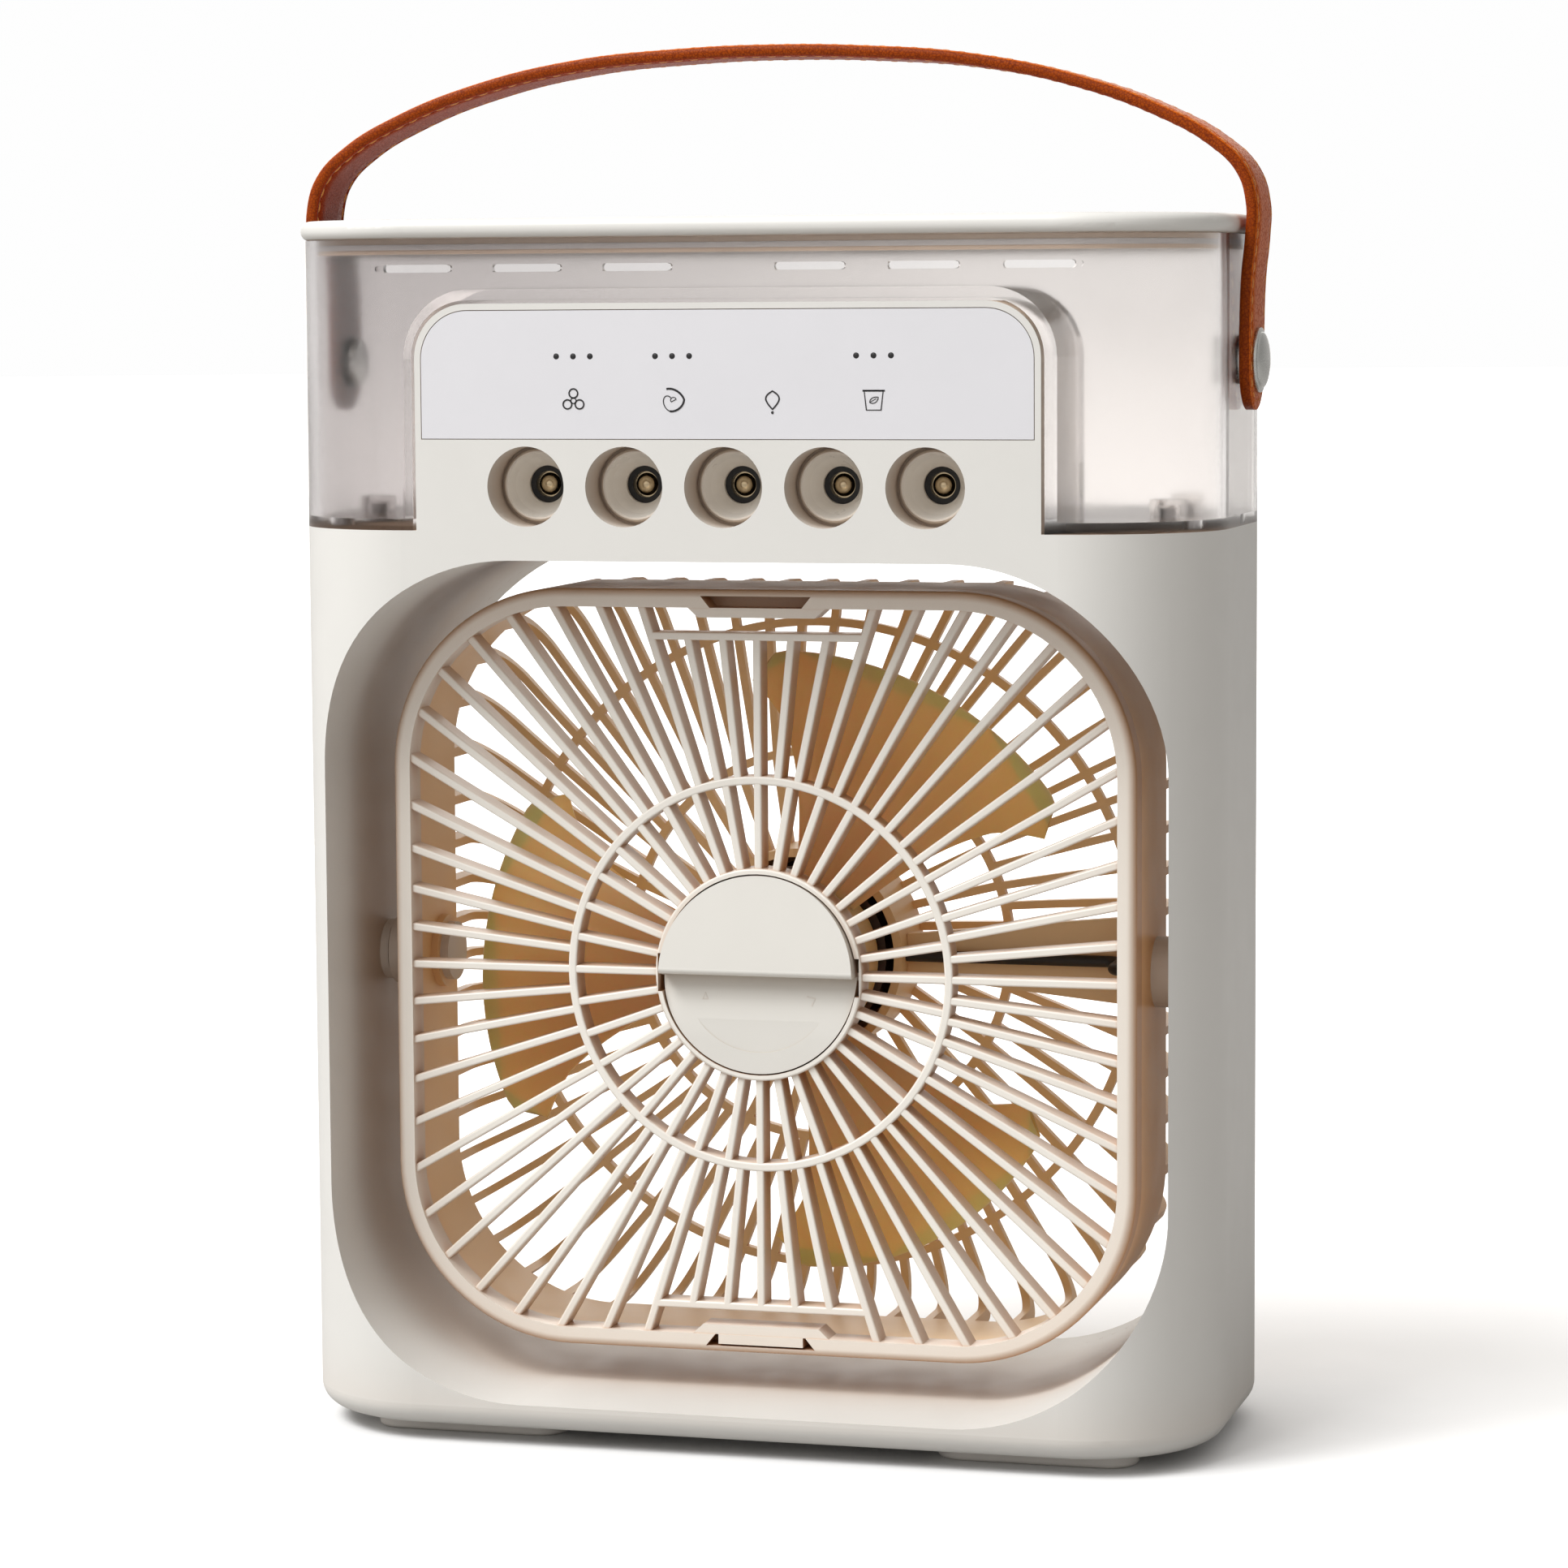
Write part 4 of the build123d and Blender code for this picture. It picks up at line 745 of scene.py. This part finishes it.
def cup_icon():
    """A tapered cup with a leaf in it."""
    cup = [(-1.75, 1.75), (1.75, 1.75), (1.35, -1.7), (-1.35, -1.7)]
    rim = [(-2.05, 1.75), (2.05, 1.75)]
    leaf = curve_through([(-0.75, -0.35), (-0.7, 0.5), (0.2, 0.7), (0.85, 0.6),
                          (0.8, -0.2), (0.0, -0.8), (-0.75, -0.35)])
    return [(cup, 0.24), (rim, 0.3), (leaf, 0.15), ([(-0.7, -0.3), (0.5, 0.35)], 0.12)]


def closed_line(points):
    return math.hypot(points[0][0] - points[-1][0], points[0][1] - points[-1][1]) < 1.2 and len(points) > 3


def build_prints():
    """Touch icons and black dots on the sheet."""
    low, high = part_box("control_overlay")
    front = low.y
    pads_low, pads_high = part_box("touch_pads")
    pad_r = (pads_high.z - pads_low.z) / 2
    first, last = pads_low.x + pad_r, pads_high.x - pad_r
    z0 = (pads_low.z + pads_high.z) / 2
    pitch = (last - first) / 3
    bm = bmesh.new()
    for k, icon in enumerate((fan_icon, mist_icon, light_icon, cup_icon)):
        x0 = first + pitch * k
        for points, width in icon():
            placed = [(x0 + x * MM, z0 + z * MM) for x, z in points]
            closed = icon is cup_icon and len(points) == 4 or len(points) > 18 and closed_line(points)
            stroke(bm, placed, lambda x, z: front, width * MM, closed)
    leds_low, leds_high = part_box("indicator_leds")
    dot_z = (leds_low.z + leds_high.z) / 2
    for k in DOTTED_ICONS:
        for n in (-1, 0, 1):
            centre = Vector((first + pitch * k + n * DOT_STEP, high.y, dot_z))
            deep = high.y - low.y
            dot = [(0, 0), (0.52 * MM, 0), (0.53 * MM, deep * 0.9), (0.4 * MM, deep), (0, deep + 0.04 * MM)]
            lathe(bm, dot, centre, (0, -1, 0), 24)
    piece("printed_marks", mesh_of(bm, "printed_marks", 30), "housing", "touch_sheet", INK)


def surface_of(node):
    """Front surface of a node as a function of x and z."""
    tree = BVHTree.FromPolygons([v.co for v in NODES[node].data.vertices],
                                [tuple(p.vertices) for p in NODES[node].data.polygons])

    def y_at(x, z):
        hit = tree.ray_cast(Vector((x, -1.0, z)), Vector((0, 1, 0)))[0]
        return hit.y if hit is not None else middle(node).y
    return y_at


def build_knob_marks():
    """Two faint turning marks in the knob's thumb rest."""
    y_at = surface_of("centre_knob")
    z0 = joint_place("knob_twist").z
    bm = bmesh.new()
    triangle = [(-10.9, -4.9), (-9.9, -4.9), (-10.4, -3.7)]
    tick = [(9.2, -3.9), (10.8, -4.2), (10.2, -5.6)]
    for points, closed in ((triangle, True), (tick, False)):
        stroke(bm, [(x * MM, z0 + z * MM) for x, z in points], y_at, 0.22 * MM, closed)
    piece("knob_marks", mesh_of(bm, "knob_marks", 30), "knob", "grille_ivory", MARK)


# ---- Stage -----------------------------------------------------------------
CAMERA_TURN = math.radians(15.29)
CAMERA_PITCH = math.radians(5.66)
CAMERA_ROLL = math.radians(-0.36)
CAMERA_AWAY = 0.91998
CAMERA_LENS = 111.73
CAMERA_AIM = Vector((0, 0, 0.12))
CAMERA_SLIDE = (0.0001, 0.00089)
KEY_WAY = (0.62, 0.42, -1.0)         # the way the key light travels
KEY_POWER = 1.8
KEY_WIDTH = math.radians(22)
BOX_AIM = (0, 0, 0.1)
SOFT_BOXES = [("front_box", (-0.5, -0.85, 1.15), 0.7, 11.0, (1, 1, 1)),
              ("back_box", (-0.25, 0.9, 0.5), 0.8, 2.4, (1, 0.96, 0.9))]
DARK_SIDE = (0.98, 0.18, -0.05)      # the studio is dim towards the right
FILL_LEVELS = (0.8, 0.42)            # its fill light on the bright side and on the dim one
# The lower glow under the object paints its shadow on the floor.
FLOOR_GLOW = (0.17, 0.62)            # the floor's own light under the object and far from it
FLOOR_GLOW_REACH = 0.7


def set_camera():
    level = Vector((math.cos(CAMERA_TURN), math.sin(CAMERA_TURN), 0))
    back = Vector((math.sin(CAMERA_TURN) * math.cos(CAMERA_PITCH),
                   -math.cos(CAMERA_TURN) * math.cos(CAMERA_PITCH), math.sin(CAMERA_PITCH)))
    upright = back.cross(level)
    right = math.cos(CAMERA_ROLL) * level + math.sin(CAMERA_ROLL) * upright
    up = -math.sin(CAMERA_ROLL) * level + math.cos(CAMERA_ROLL) * upright
    data = bpy.data.cameras.new("camera")
    data.lens = CAMERA_LENS
    data.sensor_width = 36
    data.clip_start, data.clip_end = 0.05, 60
    camera = bpy.data.objects.new("camera", data)
    bpy.context.scene.collection.objects.link(camera)
    turn = Matrix((right, up, back)).transposed().to_4x4()
    place = CAMERA_AIM + back * CAMERA_AWAY + right * CAMERA_SLIDE[0] + up * CAMERA_SLIDE[1]
    camera.matrix_world = Matrix.Translation(place) @ turn
    bpy.context.scene.camera = camera


def soft_light(name, place, aim, side, power, colour):
    data = bpy.data.lights.new(name, "AREA")
    data.shape = "RECTANGLE"
    data.size = data.size_y = side
    data.energy = power
    data.color = colour
    lamp = bpy.data.objects.new(name, data)
    lamp.location = place
    lamp.rotation_euler = (Vector(aim) - Vector(place)).to_track_quat("-Z", "Y").to_euler()
    lamp.visible_camera = lamp.visible_transmission = False
    bpy.context.scene.collection.objects.link(lamp)


def set_lights():
    sun = bpy.data.lights.new("key", "SUN")
    sun.energy = KEY_POWER
    sun.angle = KEY_WIDTH
    sun.color = (0.98, 0.99, 1.0)
    lamp = bpy.data.objects.new("key", sun)
    lamp.rotation_euler = Vector(KEY_WAY).to_track_quat("-Z", "Y").to_euler()
    bpy.context.scene.collection.objects.link(lamp)
    for name, place, side, power, colour in SOFT_BOXES:
        soft_light(name, place, BOX_AIM, side, power, colour)
    world = bpy.data.worlds.new("studio")
    bpy.context.scene.world = world
    world.use_nodes = True
    net = Net(world.node_tree)
    world.node_tree.nodes.clear()
    direction = net.add("ShaderNodeTexCoord").outputs["Generated"]
    corner = net.add("ShaderNodeVectorMath", {0: direction, 1: DARK_SIDE}, operation="DOT_PRODUCT")
    level = net.spread(corner.outputs["Value"], -0.3, 0.8, *FILL_LEVELS)
    fill = net.add("ShaderNodeBackground", {"Color": (1.0, 0.965, 0.93, 1), "Strength": level})
    plain = net.add("ShaderNodeBackground", {"Color": (1, 1, 1, 1), "Strength": 0.99})
    path = net.add("ShaderNodeLightPath").outputs
    seen = net.math("MAXIMUM", path["Is Camera Ray"], path["Is Transmission Ray"])
    both = net.add("ShaderNodeMixShader", {0: seen, 1: fill.outputs[0], 2: plain.outputs[0]})
    output = net.add("ShaderNodeOutputWorld")
    world.node_tree.links.new(both.outputs[0], output.inputs["Surface"])


def set_floor():
    """White sweep under the object; it glows a little, less near the object and less again where the object
    shelters it, which paints its shadow, and it looks duller to bounced light.
    """
    bm = bmesh.new()
    rings = []
    for radius in (0.01, 0.3, 1.0, 4.0, 14.0):
        rings.append([Vector((radius * math.cos(a), radius * math.sin(a), 0))
                      for a in (2 * math.pi * i / 96 for i in range(96))])
    skin(bm, rings, caps=False)
    floor = bpy.data.objects.new("floor", mesh_of(bm, "floor"))
    bpy.context.scene.collection.objects.link(floor)
    # The floor's second colour is painted shade; the foot fade keeps it off at floor height.
    white = moulded("floor_white", (0.76, 0.76, 0.76, 1), rgb(150, 112, 72), 0.7, 0.03, 0.9)
    net = Net(white.node_tree)
    where = net.add("ShaderNodeTexCoord").outputs["Object"]
    away = net.add("ShaderNodeVectorMath", {0: where}, operation="LENGTH").outputs["Value"]
    # Painted contact shadow: the glow is cut where the floor is sheltered.
    painted_contact_shadow = net.add("ShaderNodeAmbientOcclusion", {"Distance": 0.05}, samples=8).outputs["AO"]
    glow = net.math("MULTIPLY", net.spread(away, 0.0, FLOOR_GLOW_REACH, *FLOOR_GLOW),
                    net.math("POWER", painted_contact_shadow, 1.5))
    surface = white.node_tree.nodes["Principled BSDF"]
    tint = net.add("ShaderNodeCombineColor", {0: glow, 1: glow, 2: glow}).outputs[0]
    white.node_tree.links.new(tint, surface.inputs["Emission Color"])
    surface.inputs["Emission Strength"].default_value = 1.0
    path = net.add("ShaderNodeLightPath").outputs
    seen = net.math("MAXIMUM", path["Is Camera Ray"], path["Is Transmission Ray"])
    dull = net.add("ShaderNodeBsdfDiffuse", {"Color": (0.42, 0.41, 0.4, 1)}).outputs[0]
    both = net.add("ShaderNodeMixShader", {0: seen, 1: dull, 2: surface.outputs[0]}).outputs[0]
    white.node_tree.links.new(both, white.node_tree.nodes["Material Output"].inputs["Surface"])
    floor.data.materials.append(white)


set_camera()
set_floor()
set_lights()
bpy.context.scene.view_settings.view_transform = "Standard"
dress_nodes()
STRAP = StrapLine()
STRAP_HALF = build_strap(STRAP)
build_stitches(STRAP, STRAP_HALF)
build_rivet(-1)
build_rivet(1)
build_impeller()
build_prints()
build_knob_marks()
